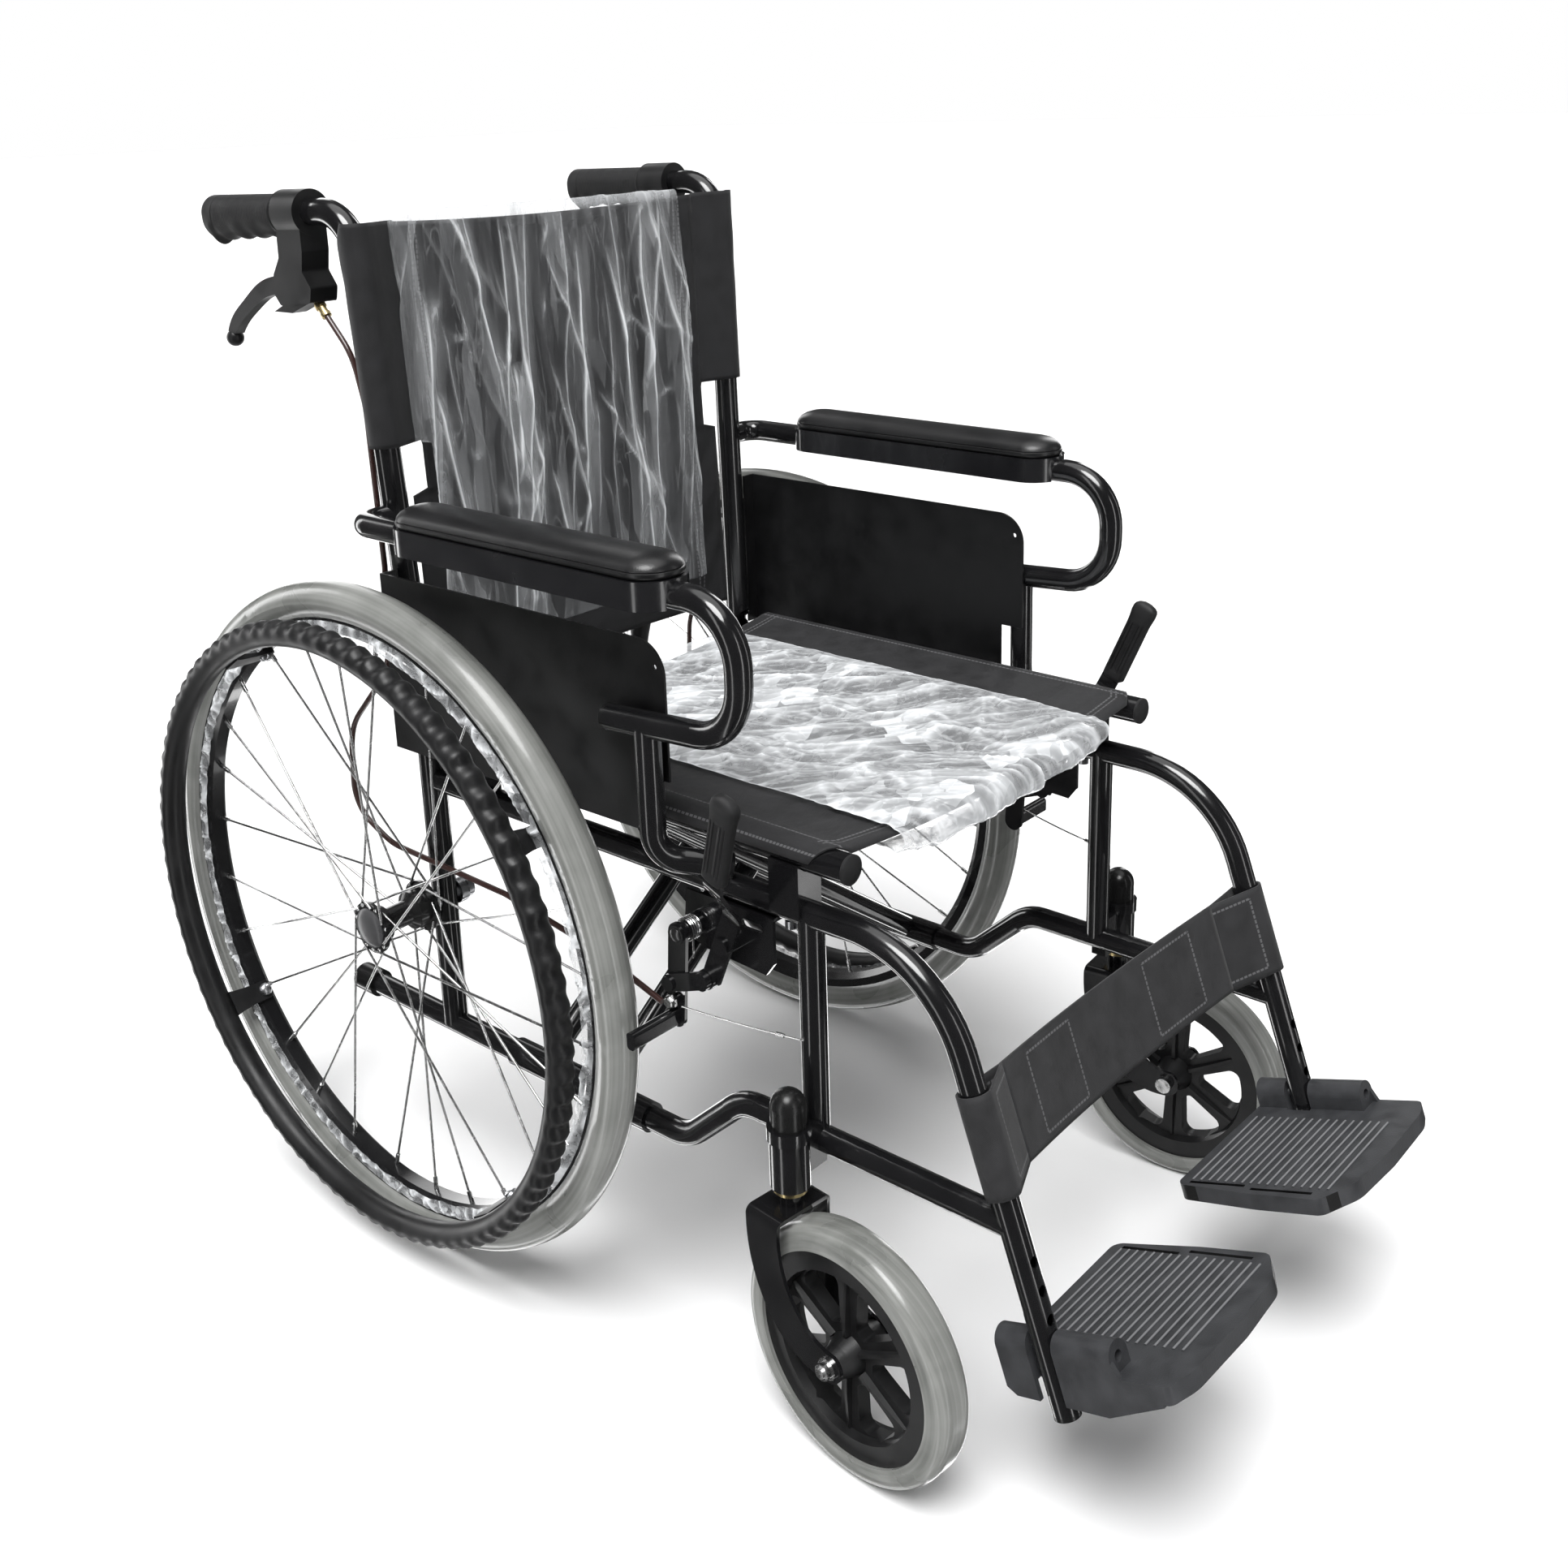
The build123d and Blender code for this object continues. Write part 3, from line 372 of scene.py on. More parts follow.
def joined(shapes):
    """One shape from several (points, faces)."""
    points, faces, count = [], [], 0
    for some, quads in shapes:
        points.append(some)
        faces += [[corner + count for corner in quad] for quad in quads]
        count += len(some)
    return np.concatenate(points), faces


def loft(rings, capped=True, looped=False):
    """Skin over rings of points, each ring closed; looped joins the last ring to the first."""
    rings = np.asarray(rings, float)
    count, size = rings.shape[:2]
    faces = []
    for row in range(count if looped else count - 1):
        after = (row + 1) % count
        for step in range(size):
            turn = (step + 1) % size
            faces.append([row * size + step, row * size + turn, after * size + turn, after * size + step])
    if capped and not looped:
        faces.append(list(range(size))[::-1])
        faces.append(list(range((count - 1) * size, count * size)))
    return rings.reshape(-1, 3), faces


def lathe(profile, origin, axis, steps=40):
    """Solid of revolution from (distance along the axis, radius) points."""
    turn = np.array(Vector((0, 0, 1)).rotation_difference(Vector(axis)).to_matrix())
    angles = circle(steps)
    rings = []
    for along, radius in profile:
        ring = np.stack([radius * np.cos(angles), radius * np.sin(angles), np.full(steps, along)], 1)
        rings.append(ring @ turn.T + np.array(origin))
    return loft(rings)


def tube(points, radius, sides=10):
    """Round rod along a line of points."""
    points = np.asarray(points, float)
    heading = np.gradient(points, axis=0)
    heading /= np.linalg.norm(heading, axis=1)[:, None]
    normal = Vector(heading[0]).orthogonal().normalized()
    angles = circle(sides)
    rings = []
    for point, ahead in zip(points, heading):
        ahead = Vector(ahead)
        normal = (normal - ahead * normal.dot(ahead)).normalized()
        side = ahead.cross(normal)
        normal_way, side_way = np.array(normal), np.array(side)
        rings.append([point + radius * (math.cos(a) * normal_way + math.sin(a) * side_way) for a in angles])
    return loft(rings)


def grid(points, rows, columns):
    """Sheet over rows of points."""
    faces = [[r * columns + c, r * columns + c + 1, (r + 1) * columns + c + 1, (r + 1) * columns + c]
             for r in range(rows - 1) for c in range(columns - 1)]
    return np.array(points), faces


def piece(name, shape, material, side=1, cut=None, slot=None, crest=None):
    """Mesh object from a left-hand shape; cut holds each point's place on the flat cloth, in metres, and
    the last argument holds how much painted highlight film gets there, mostly along its creases, from 0 to 1."""
    points, faces = shape
    points = np.array(points, float) * (side, 1, 1)
    if side < 0:
        faces = [face[::-1] for face in faces]
    mesh = bpy.data.meshes.new(name)
    mesh.from_pydata(points.tolist(), [], faces)
    if cut is not None:
        layer = mesh.uv_layers.new(name="cut")
        corners = np.zeros(len(mesh.loops), int)
        mesh.loops.foreach_get("vertex_index", corners)
        layer.data.foreach_set("uv", np.asarray(cut, float)[corners].astype(np.float32).ravel())
    if crest is not None:
        marks = mesh.attributes.new("crest", "FLOAT", "POINT")
        marks.data.foreach_set("value", np.clip(crest, 0, 1).astype(np.float32))
    mesh.materials.append(material)
    mesh.shade_smooth()
    mesh.set_sharp_from_angle(angle=math.radians(42))
    thing = bpy.data.objects.new(name, mesh)
    bpy.context.scene.collection.objects.link(thing)
    return thing


def thicken(thing, thickness):
    shell = thing.modifiers.new("thickness", "SOLIDIFY")
    shell.thickness = thickness
    shell.offset = 0
    return thing


def both_sides(name, shape, material, body, instead_of=None, **extra):
    """The same piece on the left and, mirrored, on the right, each on its side's body."""
    made = {}
    for side, sign in SIDES.items():
        made[side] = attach(piece(f"{side}_{name}", shape, material, sign, **extra), f"{side}_{body}")
        if instead_of:
            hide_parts(f"{side}_{instead_of}")
    return made


def points_of(thing):
    return np.array([vertex.co for vertex in thing.data.vertices])


def place_points(thing, points):
    thing.data.vertices.foreach_set("co", points.astype(np.float32).ravel())


def settle(thing, held, grow, frames=18, gravity=0.3):
    """Cloth simulation with some points held; grow is the cloth's spare width, as a share."""
    group = thing.vertex_groups.new(name="held")
    group.add([int(index) for index in held], 1.0, "ADD")
    cloth = thing.modifiers.new("cloth", "CLOTH")
    cloth.settings.quality = 6
    cloth.settings.mass = 0.15
    cloth.settings.tension_stiffness = 25
    cloth.settings.compression_stiffness = 25
    cloth.settings.bending_stiffness = 0.6
    cloth.settings.shrink_min = -grow
    cloth.settings.vertex_group_mass = "held"
    cloth.settings.effector_weights.gravity = gravity
    cloth.collision_settings.use_collision = False
    for number in range(1, frames + 1):
        bpy.context.scene.frame_set(number)
    shaped = thing.evaluated_get(bpy.context.evaluated_depsgraph_get())
    points = points_of(shaped)
    thing.modifiers.remove(cloth)
    thing.vertex_groups.clear()
    place_points(thing, points)
    thing.data.update()
    bpy.context.scene.frame_set(1)


def ridges(place, scale, seed):
    """Crease height from 0 to 1 at a point: sharp crests between smooth hollows."""
    value = noise.noise(Vector(place) * scale + Vector((seed, 2 * seed, 0)))
    return (1 - min(1.0, 2.6 * abs(value))) ** 2


def creases(place, scale):
    """Crease height from 0 to 1 at a point: straight crests between the facets of crumpled film."""
    near = noise.voronoi(Vector(place) * scale)[0]
    return math.exp(-3.2 * (near[1] - near[0]))


# ---------------------------------------------------------------- rear wheels
def hand_rim_shape():
    low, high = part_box("left_hand_rim")
    tube_r = (high.x - low.x) / 2
    centre_x = (low.x + high.x) / 2
    ring_r = (high.z - low.z) / 2 - tube_r
    waves, depth = 91, 0.0036
    turns = circle(waves * 8)
    section = circle(18)
    rings = []
    for turn in turns:
        dip = depth * (0.5 - 0.5 * math.cos(waves * turn))
        radius = tube_r - 0.0006 - dip * np.clip(np.cos(section), 0, 1) ** 1.2
        out = ring_r + radius * np.cos(section)
        rings.append(np.stack([centre_x + radius * np.sin(section), AXLE.y + out * math.cos(turn),
                               AXLE.z + out * math.sin(turn)], 1))
    return loft(rings, looped=True)


both_sides("hand_rim_cover", hand_rim_shape(), BLACK_PLASTIC, "wheel", "hand_rim", slot="plastic_black")


# Turned parts below: (distance along the axis, radius).
RIM_BOLT = [(0, 0.0062), (0.0016, 0.006), (0.0035, 0.0042), (0.0042, 0.0015)]
HUB_CAP = [(-0.001, 0.0175), (0.0012, 0.0178), (0.0028, 0.0165), (0.0042, 0.012), (0.0048, 0.005),
           (0.005, 0.0005)]


def brackets_shape(count=4, phase=math.radians(-33)):
    """Flat tabs from the hand rim to the wheel's rim, and the bolt heads on them."""
    rim_x = AXLE.x
    reach_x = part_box("left_hand_rim")[0].x + 0.004
    inner_r = 0.2535
    tabs, bolts = [], []
    for index in range(count):
        angle = phase + index * math.pi / 2
        out = np.array([0, math.cos(angle), math.sin(angle)])
        side = np.array([0, -math.sin(angle), math.cos(angle)])
        centre = np.array([0, AXLE.y, AXLE.z])
        rings = []
        for x, half, low, high in ((rim_x - 0.006, 0.005, 0, 0.0035), (rim_x - 0.003, 0.009, 0, 0.0035),
                                   (rim_x + 0.014, 0.009, 0, 0.0035), (reach_x - 0.004, 0.011, 0.0005, 0.006),
                                   (reach_x, 0.012, 0.001, 0.008)):
            corners = [(-half, low), (half, low), (half, high), (-half, high)]
            rings.append([centre + out * (inner_r + up) + side * along + (x, 0, 0) for along, up in corners])
        tabs.append(loft(rings))
        head = centre + out * (inner_r - 0.0002) + (rim_x, 0, 0)
        bolts.append(lathe(RIM_BOLT, head, -out, 20))
    return joined(tabs), joined(bolts)


TABS, TAB_BOLTS = brackets_shape()
both_sides("rim_tabs", TABS, BLACK_PLASTIC, "wheel", "rim_standoffs", slot="plastic_black")
both_sides("rim_tab_bolts", TAB_BOLTS, STEEL, "wheel", slot="bolt_steel")

HUB_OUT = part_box("left_rear_hub")[1].x
CAP_GREY = plastic("cap_grey", (0.05, 0.05, 0.052), 0.28, 700, 0.05)
both_sides("hub_cap", lathe(HUB_CAP, (HUB_OUT, AXLE.y, AXLE.z), (1, 0, 0)), CAP_GREY, "wheel",
           slot="plastic_grey")


def spoke_heads_shape(count=14, circle_r=0.0205):
    heads = []
    for index in range(count):
        angle = 2 * math.pi * (index + 0.5) / count
        place = (HUB_OUT - 0.0003, AXLE.y + circle_r * math.cos(angle), AXLE.z + circle_r * math.sin(angle))
        heads.append(lathe([(0, 0.0019), (0.0008, 0.0018), (0.0014, 0.0008)], place, (1, 0, 0), 10))
    return joined(heads)


both_sides("spoke_heads", spoke_heads_shape(), BRIGHT_STEEL, "wheel", slot="spoke_steel")


def rim_film_shape():
    """Crumpled strip of film left on the rim's outer wall."""
    wall_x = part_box("left_rear_rim")[1].x
    steps, rows = 900, 7
    turns = circle(steps)
    rings, crest = [], []
    for turn in turns:
        ring = []
        for row in range(rows):
            radius = 0.2565 + 0.0125 * row / (rows - 1)
            place = (radius * math.cos(turn), radius * math.sin(turn), 0)
            fold = ridges(place, 55, 3)
            # Painted highlight along the strip's fold crests.
            crest.append(fold ** 3)
            lift = 0.0005 + 0.0045 * fold * math.sin(math.pi * (row + 0.6) / rows)
            edge = 0.002 * noise.noise(Vector(place) * 90) if row == 0 else 0
            radius += edge
            ring.append((wall_x + lift, AXLE.y + radius * math.cos(turn), AXLE.z + radius * math.sin(turn)))
        rings.append(ring)
    points = np.array(rings).reshape(-1, 3)
    faces = []
    for step in range(steps):
        after = (step + 1) % steps
        first, second = step * rows, after * rows
        faces += [[first + r, first + r + 1, second + r + 1, second + r] for r in range(rows - 1)]
    return (points, faces), crest


RIM_FILM = film("rim_film", (1, 1, 1), 0.12, 0.4, 90)
RIM_STRIP, RIM_HIGHLIGHT = rim_film_shape()
for side, strip in both_sides("rim_film", RIM_STRIP, RIM_FILM, "wheel", crest=RIM_HIGHLIGHT).items():
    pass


# ---------------------------------------------------------------- casters
CASTER_AXIS = Vector((math.cos(math.radians(5.7)), math.sin(math.radians(5.7)), 0))
CASTER = middle("left_caster_tyre")


# Rib stations: (radius on the wheel, half width, height off the mid plane).
CASTER_RIB = [(0.017, 0.0034, 0.0105), (0.03, 0.0028, 0.0105), (0.05, 0.0024, 0.0092),
              (0.064, 0.0022, 0.0078)]


def caster_ridges_shape(count=6):
    """Central rib on each face of each spoke of the caster wheel."""
    forward = Vector((0, 0, 1)).cross(CASTER_AXIS)
    ribs = []
    for index in range(count):
        angle = math.radians(60 * index + 30)
        out = forward * math.cos(angle) + Vector((0, 0, 1)) * math.sin(angle)
        side = CASTER_AXIS.cross(out)
        for face in (1, -1):
            rings = []
            for radius, half, high in CASTER_RIB:
                corners = [(-half, 0.0045), (half, 0.0045), (half * 0.5, high), (-half * 0.5, high)]
                middle_line = CASTER + out * radius
                rings.append([middle_line + side * along + CASTER_AXIS * face * up for along, up in corners])
            points, faces = loft(rings)
            ribs.append((points, faces if face > 0 else [quad[::-1] for quad in faces]))
    return joined(ribs)


both_sides("caster_ribs", caster_ridges_shape(), BLACK_PLASTIC, "caster", slot="plastic_black")

HOUSING = Vector((0.231, AXLE.y - 0.4285, 0.209))
STEM_WASHER = [(-0.0042, 0.0102), (-0.0042, 0.0128), (-0.0008, 0.0128), (-0.0008, 0.0102)]
both_sides("stem_washer", lathe(STEM_WASHER, HOUSING, (0, 0, 1)), BRASS, "fork", slot="bearing_steel")


# ---------------------------------------------------------------- parking brakes
def lever_grip_shape():
    """Moulded sleeve: lengthwise grooves on both broad faces and a smooth bulging top."""
    low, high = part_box("left_brake_lever_grip")
    start = Vector((low.x + 0.0062, high.y - 0.0102, low.z + 0.003))
    end = Vector((high.x - 0.0062, low.y + 0.0102, high.z - 0.003))
    ahead = (end - start).normalized()
    broad = Vector((1, 0, 0)).cross(ahead).normalized()
    thin = ahead.cross(broad).normalized()
    angles = circle(96)
    rings = []
    for step in np.linspace(0, 1, 44):
        bulge = 1.0 + 0.1 * math.exp(-((step - 0.88) / 0.09) ** 2)
        closing = min(1.0, math.sqrt(max(0.0, 1 - ((step - 0.93) / 0.075) ** 2))) if step > 0.93 else 1.0
        closing *= min(1.0, 0.8 + step * 8)
        grooved = 1.0 if 0.1 < step < 0.74 else 0.0
        ring = []
        for angle in angles:
            u, v = math.cos(angle), math.sin(angle)
            wide = 0.0102 * math.copysign(abs(u) ** 0.55, u)
            deep = 0.0055 * math.copysign(abs(v) ** 0.55, v)
            if abs(wide) < 0.0084:
                groove = 0.0009 * grooved * max(0.0, math.cos(wide / 0.0032 * 2 * math.pi))
                deep -= math.copysign(groove, v)
            swell = bulge * max(closing, 0.05)
            ring.append(start + (end - start) * step + (broad * wide + thin * deep) * swell)
        rings.append(ring)
    return loft(rings)


both_sides("lever_sleeve", lever_grip_shape(), BLACK_RUBBER, "brake", "brake_lever_grip", slot="rubber_black")

SHOE_PIVOT = Vector((0, AXLE.y - 0.3219, 0.3758))
CABLE_BOLT = Vector((0, AXLE.y - 0.3175, 0.322))


def spring_shape():
    """Return spring round the shoe's pivot boss, with one leg."""
    turns, wire = 4.5, 0.0008
    line = []
    for step in range(int(turns * 16) + 1):
        angle = 2 * math.pi * step / 16
        line.append((0.2105 + 0.0022 * step / 16, SHOE_PIVOT.y + 0.0088 * math.cos(angle),
                     SHOE_PIVOT.z + 0.0088 * math.sin(angle)))
    line.append((line[-1][0] + 0.001, SHOE_PIVOT.y - 0.009, SHOE_PIVOT.z - 0.02))
    return tube(line, wire, 8)


both_sides("brake_spring", spring_shape(), BRIGHT_STEEL, "side", slot="bolt_steel")


RIVET_R, RIVET_HIGH = 0.0052, 0.0022
RIVET = [(0, RIVET_R), (RIVET_HIGH * 0.4, RIVET_R * 0.97), (RIVET_HIGH * 0.85, RIVET_R * 0.6),
         (RIVET_HIGH, RIVET_R * 0.1)]
RIVET_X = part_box("left_brake_bracket")[1].x - 0.0003
both_sides("brake_rivets", lathe(RIVET, (RIVET_X, SHOE_PIVOT.y, SHOE_PIVOT.z), (1, 0, 0), 24), HUB_PAINT,
           "side", slot="frame_black")
HEX_BOLT = [(0, 0.0056), (0.003, 0.0056), (0.0032, 0.004), (0.006, 0.004), (0.0062, 0.001)]
HEX_BOLT_FOOT = (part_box("left_brake_link")[0].x + 0.003, CABLE_BOLT.y, CABLE_BOLT.z - 0.001)
both_sides("cable_bolt", lathe(HEX_BOLT, HEX_BOLT_FOOT, (1, 0, 0), 6), BRIGHT_STEEL, "shoe",
           slot="bolt_steel")


def return_wire():
    """Thin wire from the shoe forward to the front upright, with a ferrule."""
    start = Vector((0.2312, CABLE_BOLT.y - 0.008, CABLE_BOLT.z - 0.004))
    end = Vector((0.2085, AXLE.y - 0.4225, 0.3145))
    share = np.linspace(0, 1, 16)[:, None]
    line = np.array(start) * (1 - share) + np.array(end) * share
    line[:, 2] -= 0.0012 * np.sin(math.pi * share[:, 0])
    ferrule = tube(line[12:14], 0.0017, 10)
    hook = tube([line[-1], line[-1] + (-0.004, -0.003, 0), line[-1] + (-0.008, -0.006, 0)], 0.0011, 8)
    return joined([tube(line, 0.0007, 8), ferrule, hook])


for side, sign in SIDES.items():
    wire = piece(f"{side}_return_wire", return_wire(), BRIGHT_STEEL, sign, slot="bolt_steel")
    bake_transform(wire)


# ---------------------------------------------------------------- push handles
def push_grip_shape():
    """Grip with fine rings, four finger hollows underneath and a flared lower end."""
    low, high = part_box("left_push_grip")
    x = (low.x + high.x) / 2
    radius = (high.x - low.x) / 2
    start_z, end_z = high.z - radius, high.z - radius - 0.0026
    length = high.y - low.y
    angles = circle(64)
    rings = []
    for step in np.linspace(0, 1, 120):
        y = low.y + step * length
        z = start_z + (end_z - start_z) * step
        hollow = 0.5 - 0.5 * math.cos(2 * math.pi * 4 * min(step / 0.86, 1))
        drop = 0.0185 + 0.0035 * step + 0.002 * hollow
        drop += 0.0052 * math.exp(-((step - 0.89) / 0.05) ** 2)
        end_round = math.sqrt(max(0.0, 1 - ((step - 0.95) / 0.052) ** 2)) if step > 0.95 else 1.0
        ribbed = 0.00035 * (0.5 + 0.5 * math.cos(2 * math.pi * y / 0.0024)) if 0.05 < step < 0.84 else 0.0
        ring = []
        for angle in angles:
            out, up = math.sin(angle), math.cos(angle)
            under = max(0.0, -up) ** 2.2
            reach = radius - 0.0004 + (drop - radius) * under - ribbed * (1 - under)
            reach *= 0.35 + 0.65 * end_round
            narrow = 1 - 0.25 * under * min(1.0, (reach - radius) / 0.006 if reach > radius else 0)
            ring.append((x + reach * out * narrow, y, z + reach * up))
        rings.append(ring)
    return loft(rings)


both_sides("grip_sleeve", push_grip_shape(), BLACK_RUBBER, "side", "push_grip", slot="rubber_black")

CABLE_START = Vector((0.2095, AXLE.y + 0.076, 0.8143))
CABLE_DOWN = Vector((0, -0.038, -0.0383)).normalized()
ADJUSTER = [(-0.004, 0.0034), (0.0, 0.0048), (0.003, 0.0048), (0.0032, 0.0036), (0.009, 0.0036),
            (0.0092, 0.0044), (0.0125, 0.0042), (0.013, 0.003)]
both_sides("cable_adjuster", lathe(ADJUSTER, CABLE_START, CABLE_DOWN, 16), BRASS, "side",
           slot="bearing_steel")
COLLAR = [(0, 0.0172), (0.0015, 0.0186), (0.0045, 0.0188), (0.006, 0.0176)]
GRIP_LOW, GRIP_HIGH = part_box("left_push_grip")
both_sides("grip_collar", lathe(COLLAR, (0.2095, GRIP_LOW.y - 0.004, GRIP_HIGH.z - 0.0157), (0, 1, 0)),
           BLACK_PLASTIC, "side", slot="plastic_black")


# ---------------------------------------------------------------- armrests
def arm_pad_shape():
    """Crowned vinyl pad: a stadium whose sides bulge, tuck under and carry a seam."""
    low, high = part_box("left_arm_pad")
    half = (high.x - low.x) / 2
    x = (low.x + high.x) / 2
    spine = (low.y + half, high.y - half)
    tall = high.z - low.z
    profile = [(0.006, 0.0), (0.0022, 0.0), (0.0006, 0.08), (0.0, 0.2), (0.0004, 0.3), (0.0013, 0.335),
               (0.0008, 0.37), (0.0016, 0.5), (0.0044, 0.68), (0.009, 0.83), (0.0145, 0.93), (0.0205, 0.985),
               (half - 0.0004, 1.0)]
    rings = []
    for inset, share in profile:
        ring = []
        for angle in circle(120):
            out, along = math.cos(angle), math.sin(angle)
            end = spine[1] if along >= 0 else spine[0]
            reach = half - inset
            bow = 0.0012 * math.sin(math.pi * (end - spine[0] + 0.05) / (spine[1] - spine[0] + 0.1))
            ring.append((x + reach * out, end + reach * along, low.z + tall * share + bow * share))
        rings.append(ring)
    return loft(rings)


CUSHIONS = both_sides("arm_cushion", arm_pad_shape(), BLACK_VINYL, "side", "arm_pad", slot="vinyl_black")


# ---------------------------------------------------------------- fabric
RAIL_Z = 0.4565
SEAT_LOW, SEAT_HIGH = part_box("seat_sling")
CLOTH = 0.0016


def back_post(z):
    """Centre of the left back post at a height."""
    share = (z - 0.45) / 0.44
    return RAIL_X + 0.012 * share, AXLE.y + 0.0192 * share


def between_rails(thing):
    """Bake the placing of a piece that hangs between the seat rails into its mesh."""
    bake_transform(thing)


def seat_fabric():
    """Seat cloth: held round the two rails and sagging a little between them."""
    rows, columns = 101, 85
    wrap_r = SEAT_HIGH.z - RAIL_Z - 0.0008
    wrap = wrap_r * math.radians(86)
    spans = np.linspace(-RAIL_X - wrap, RAIL_X + wrap, columns)
    points, cut = [], []
    for y in np.linspace(SEAT_LOW.y, SEAT_HIGH.y, rows):
        for span in spans:
            over = max(0.0, abs(span) - RAIL_X)
            turn = over / wrap_r
            x = math.copysign(min(abs(span), RAIL_X) + wrap_r * math.sin(turn), span)
            corner = max(0.0, abs(span) - RAIL_X + 0.012) * 0.75 * max(0.0, 1 - (y - SEAT_LOW.y) / 0.08)
            points.append((x, y + corner, RAIL_Z + wrap_r * math.cos(turn)))
            cut.append((span, y - (SEAT_LOW.y + SEAT_HIGH.y) / 2))
    half_y = (SEAT_HIGH.y - SEAT_LOW.y) / 2
    seams = [("across", RAIL_X + 0.012, 0, half_y), ("across", RAIL_X - 0.004, 0, half_y),
             ("along", half_y - 0.012, 0, RAIL_X), ("along", half_y - 0.017, 0, RAIL_X)]
    look = fabric("seat_nylon", (0.013, 0.013, 0.014), seams)
    cloth = piece("seat_fabric", grid(points, rows, columns), look, cut=cut, slot="fabric_black")
    held = [index for index, (span, _) in enumerate(cut) if abs(span) > RAIL_X - 0.002]
    settle(cloth, held, 0.0006)
    shape = points_of(cloth).reshape(rows, columns, 3)
    thicken(cloth, CLOTH)
    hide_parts("seat_sling")
    between_rails(cloth)
    return shape


def surface_height(shape, x, y):
    """Height of the seat cloth at a point, between its grid's points."""
    row = np.interp(y, shape[:, shape.shape[1] // 2, 1], np.arange(shape.shape[0]))
    low = int(min(row, shape.shape[0] - 2))
    near = [np.interp(x, shape[r, :, 0], shape[r, :, 2]) for r in (low, low + 1)]
    return near[0] + (near[1] - near[0]) * (row - low)


def seat_film(shape):
    """Crumpled film over the middle of the seat, rolled round its front edge."""
    half, back = 0.140, SEAT_HIGH.y - 0.004
    front = SEAT_LOW.y - 0.001
    roll = 0.0055
    top = back - front
    length = top + math.pi * roll + 0.022
    rows, columns = 190, 112
    points, cut, crest = [], [], []
    for along in np.linspace(0, length, rows):
        for across in np.linspace(-half, half, columns):
            past = along - top
            turn = min(max(past / roll, 0), math.pi)
            y = back - min(along, top) - roll * math.sin(turn) + max(past - math.pi * roll, 0)
            edge = min(1.0, (half - abs(across)) / 0.03 + 0.15)
            wander = noise.noise(Vector((across, along, 7)) * 12) * 0.03
            place = (0.34 * across + 0.38 * along + wander, 1.05 * across - 0.95 * along + wander, 0)
            large, small, least = creases(place, 15), creases(place, 33), creases(place, 75)
            crumple = edge * (0.0058 * large + 0.0032 * small + 0.0012 * least)
            # Painted highlight along the crests of the crumples and along the film's side edges.
            crest.append(0.4 * large ** 5 + 0.45 * small ** 6 + 0.3 * least ** 6 + 0.3 * (edge < 0.2))
            crumple += 0.0016 * (1 + noise.noise(Vector((across, along, 3)) * 14))
            base = surface_height(shape, across, max(y, SEAT_LOW.y)) + 0.0022
            lift = crumple * math.cos(turn) - roll * (1 - math.cos(turn))
            points.append((across, y - crumple * 0.8 * math.sin(turn), base + lift - 0.002 * (turn > 3)))
            cut.append((across, along))
    look = film("seat_film", (0.8, 1.3, 1), 0.15, 0.42, 27)
    sheet = piece("seat_film", grid(points, rows, columns), look, cut=cut, crest=crest)
    between_rails(sheet)


seat_film(seat_fabric())


def teardrop(centre, seam, forward, radius, size=36):
    """Loop of cloth round a post that closes on its seam."""
    inward = Vector((-1, 0, 0))
    angles = np.radians(np.linspace(-104, 104, size - 9))
    arc = [centre - inward * radius * math.cos(a) + forward * radius * math.sin(a) for a in angles]
    closing = [arc[-1] + (seam - arc[-1]) * share for share in (0.25, 0.5, 0.75, 0.96)]
    opening = [seam + (arc[0] - seam) * share for share in (0.04, 0.25, 0.5, 0.75)]
    return arc + closing + [seam] + opening


def sleeve(name, stations, radius, body, seam_look, top_slope=0.0):
    """Cloth sleeve round a post on each side; a station is (post centre, seam, forward, distance along). The
    top edge falls toward the rear by the slope given."""
    rings, cut = [], []
    for centre, seam, forward, along in stations:
        ring = teardrop(centre, seam, forward, radius)
        wave = 0.0007 * noise.noise(Vector((0, 0, along * 40)))
        slope = top_slope * max(0.0, 1 - (stations[-1][0] - centre).length / 0.05)
        fall = [Vector((0, 0, slope * max(0.0, point.y - seam.y))) for point in ring]
        rings.append([point + forward * wave - down for point, down in zip(ring, fall)])
        around = 0
        for index, point in enumerate(ring):
            around += (point - ring[index - 1]).length if index else 0
            cut.append((around, along))
    shape = loft(rings, capped=False)
    for side, sign in SIDES.items():
        loop = piece(f"{side}_{name}", shape, seam_look, sign, cut=cut, slot="fabric_black")
        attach(thicken(loop, CLOTH), f"{side}_{body}")


SLEEVE_REACH = 0.036
BACK_TOP, BACK_NOTCH, BACK_STEP, BACK_LOW = 0.881, 0.7025, 0.658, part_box("back_sling")[0].z
BACK_NYLON = fabric("back_nylon", (0.011, 0.011, 0.012), [("across", 0.150, 0, 1), ("across", 0.156, 0, 1)])


def back_sleeves():
    stations = []
    forward = Vector((0, -1, 0.04)).normalized()
    for z in np.linspace(BACK_NOTCH, BACK_TOP, 48):
        x, y = back_post(z)
        stations.append((Vector((x, y, z)), Vector((x - SLEEVE_REACH, y, z)), forward, z))
    sleeve("back_sleeve", stations, 0.0134, "side", BACK_NYLON, top_slope=2.2)


back_sleeves()


def back_half(z):
    """Half width of the back cloth between its sleeves, with the notch below them."""
    if z >= BACK_NOTCH:
        return back_post(z)[0] - SLEEVE_REACH + 0.001
    return 0.168 if z > BACK_STEP else 0.1835


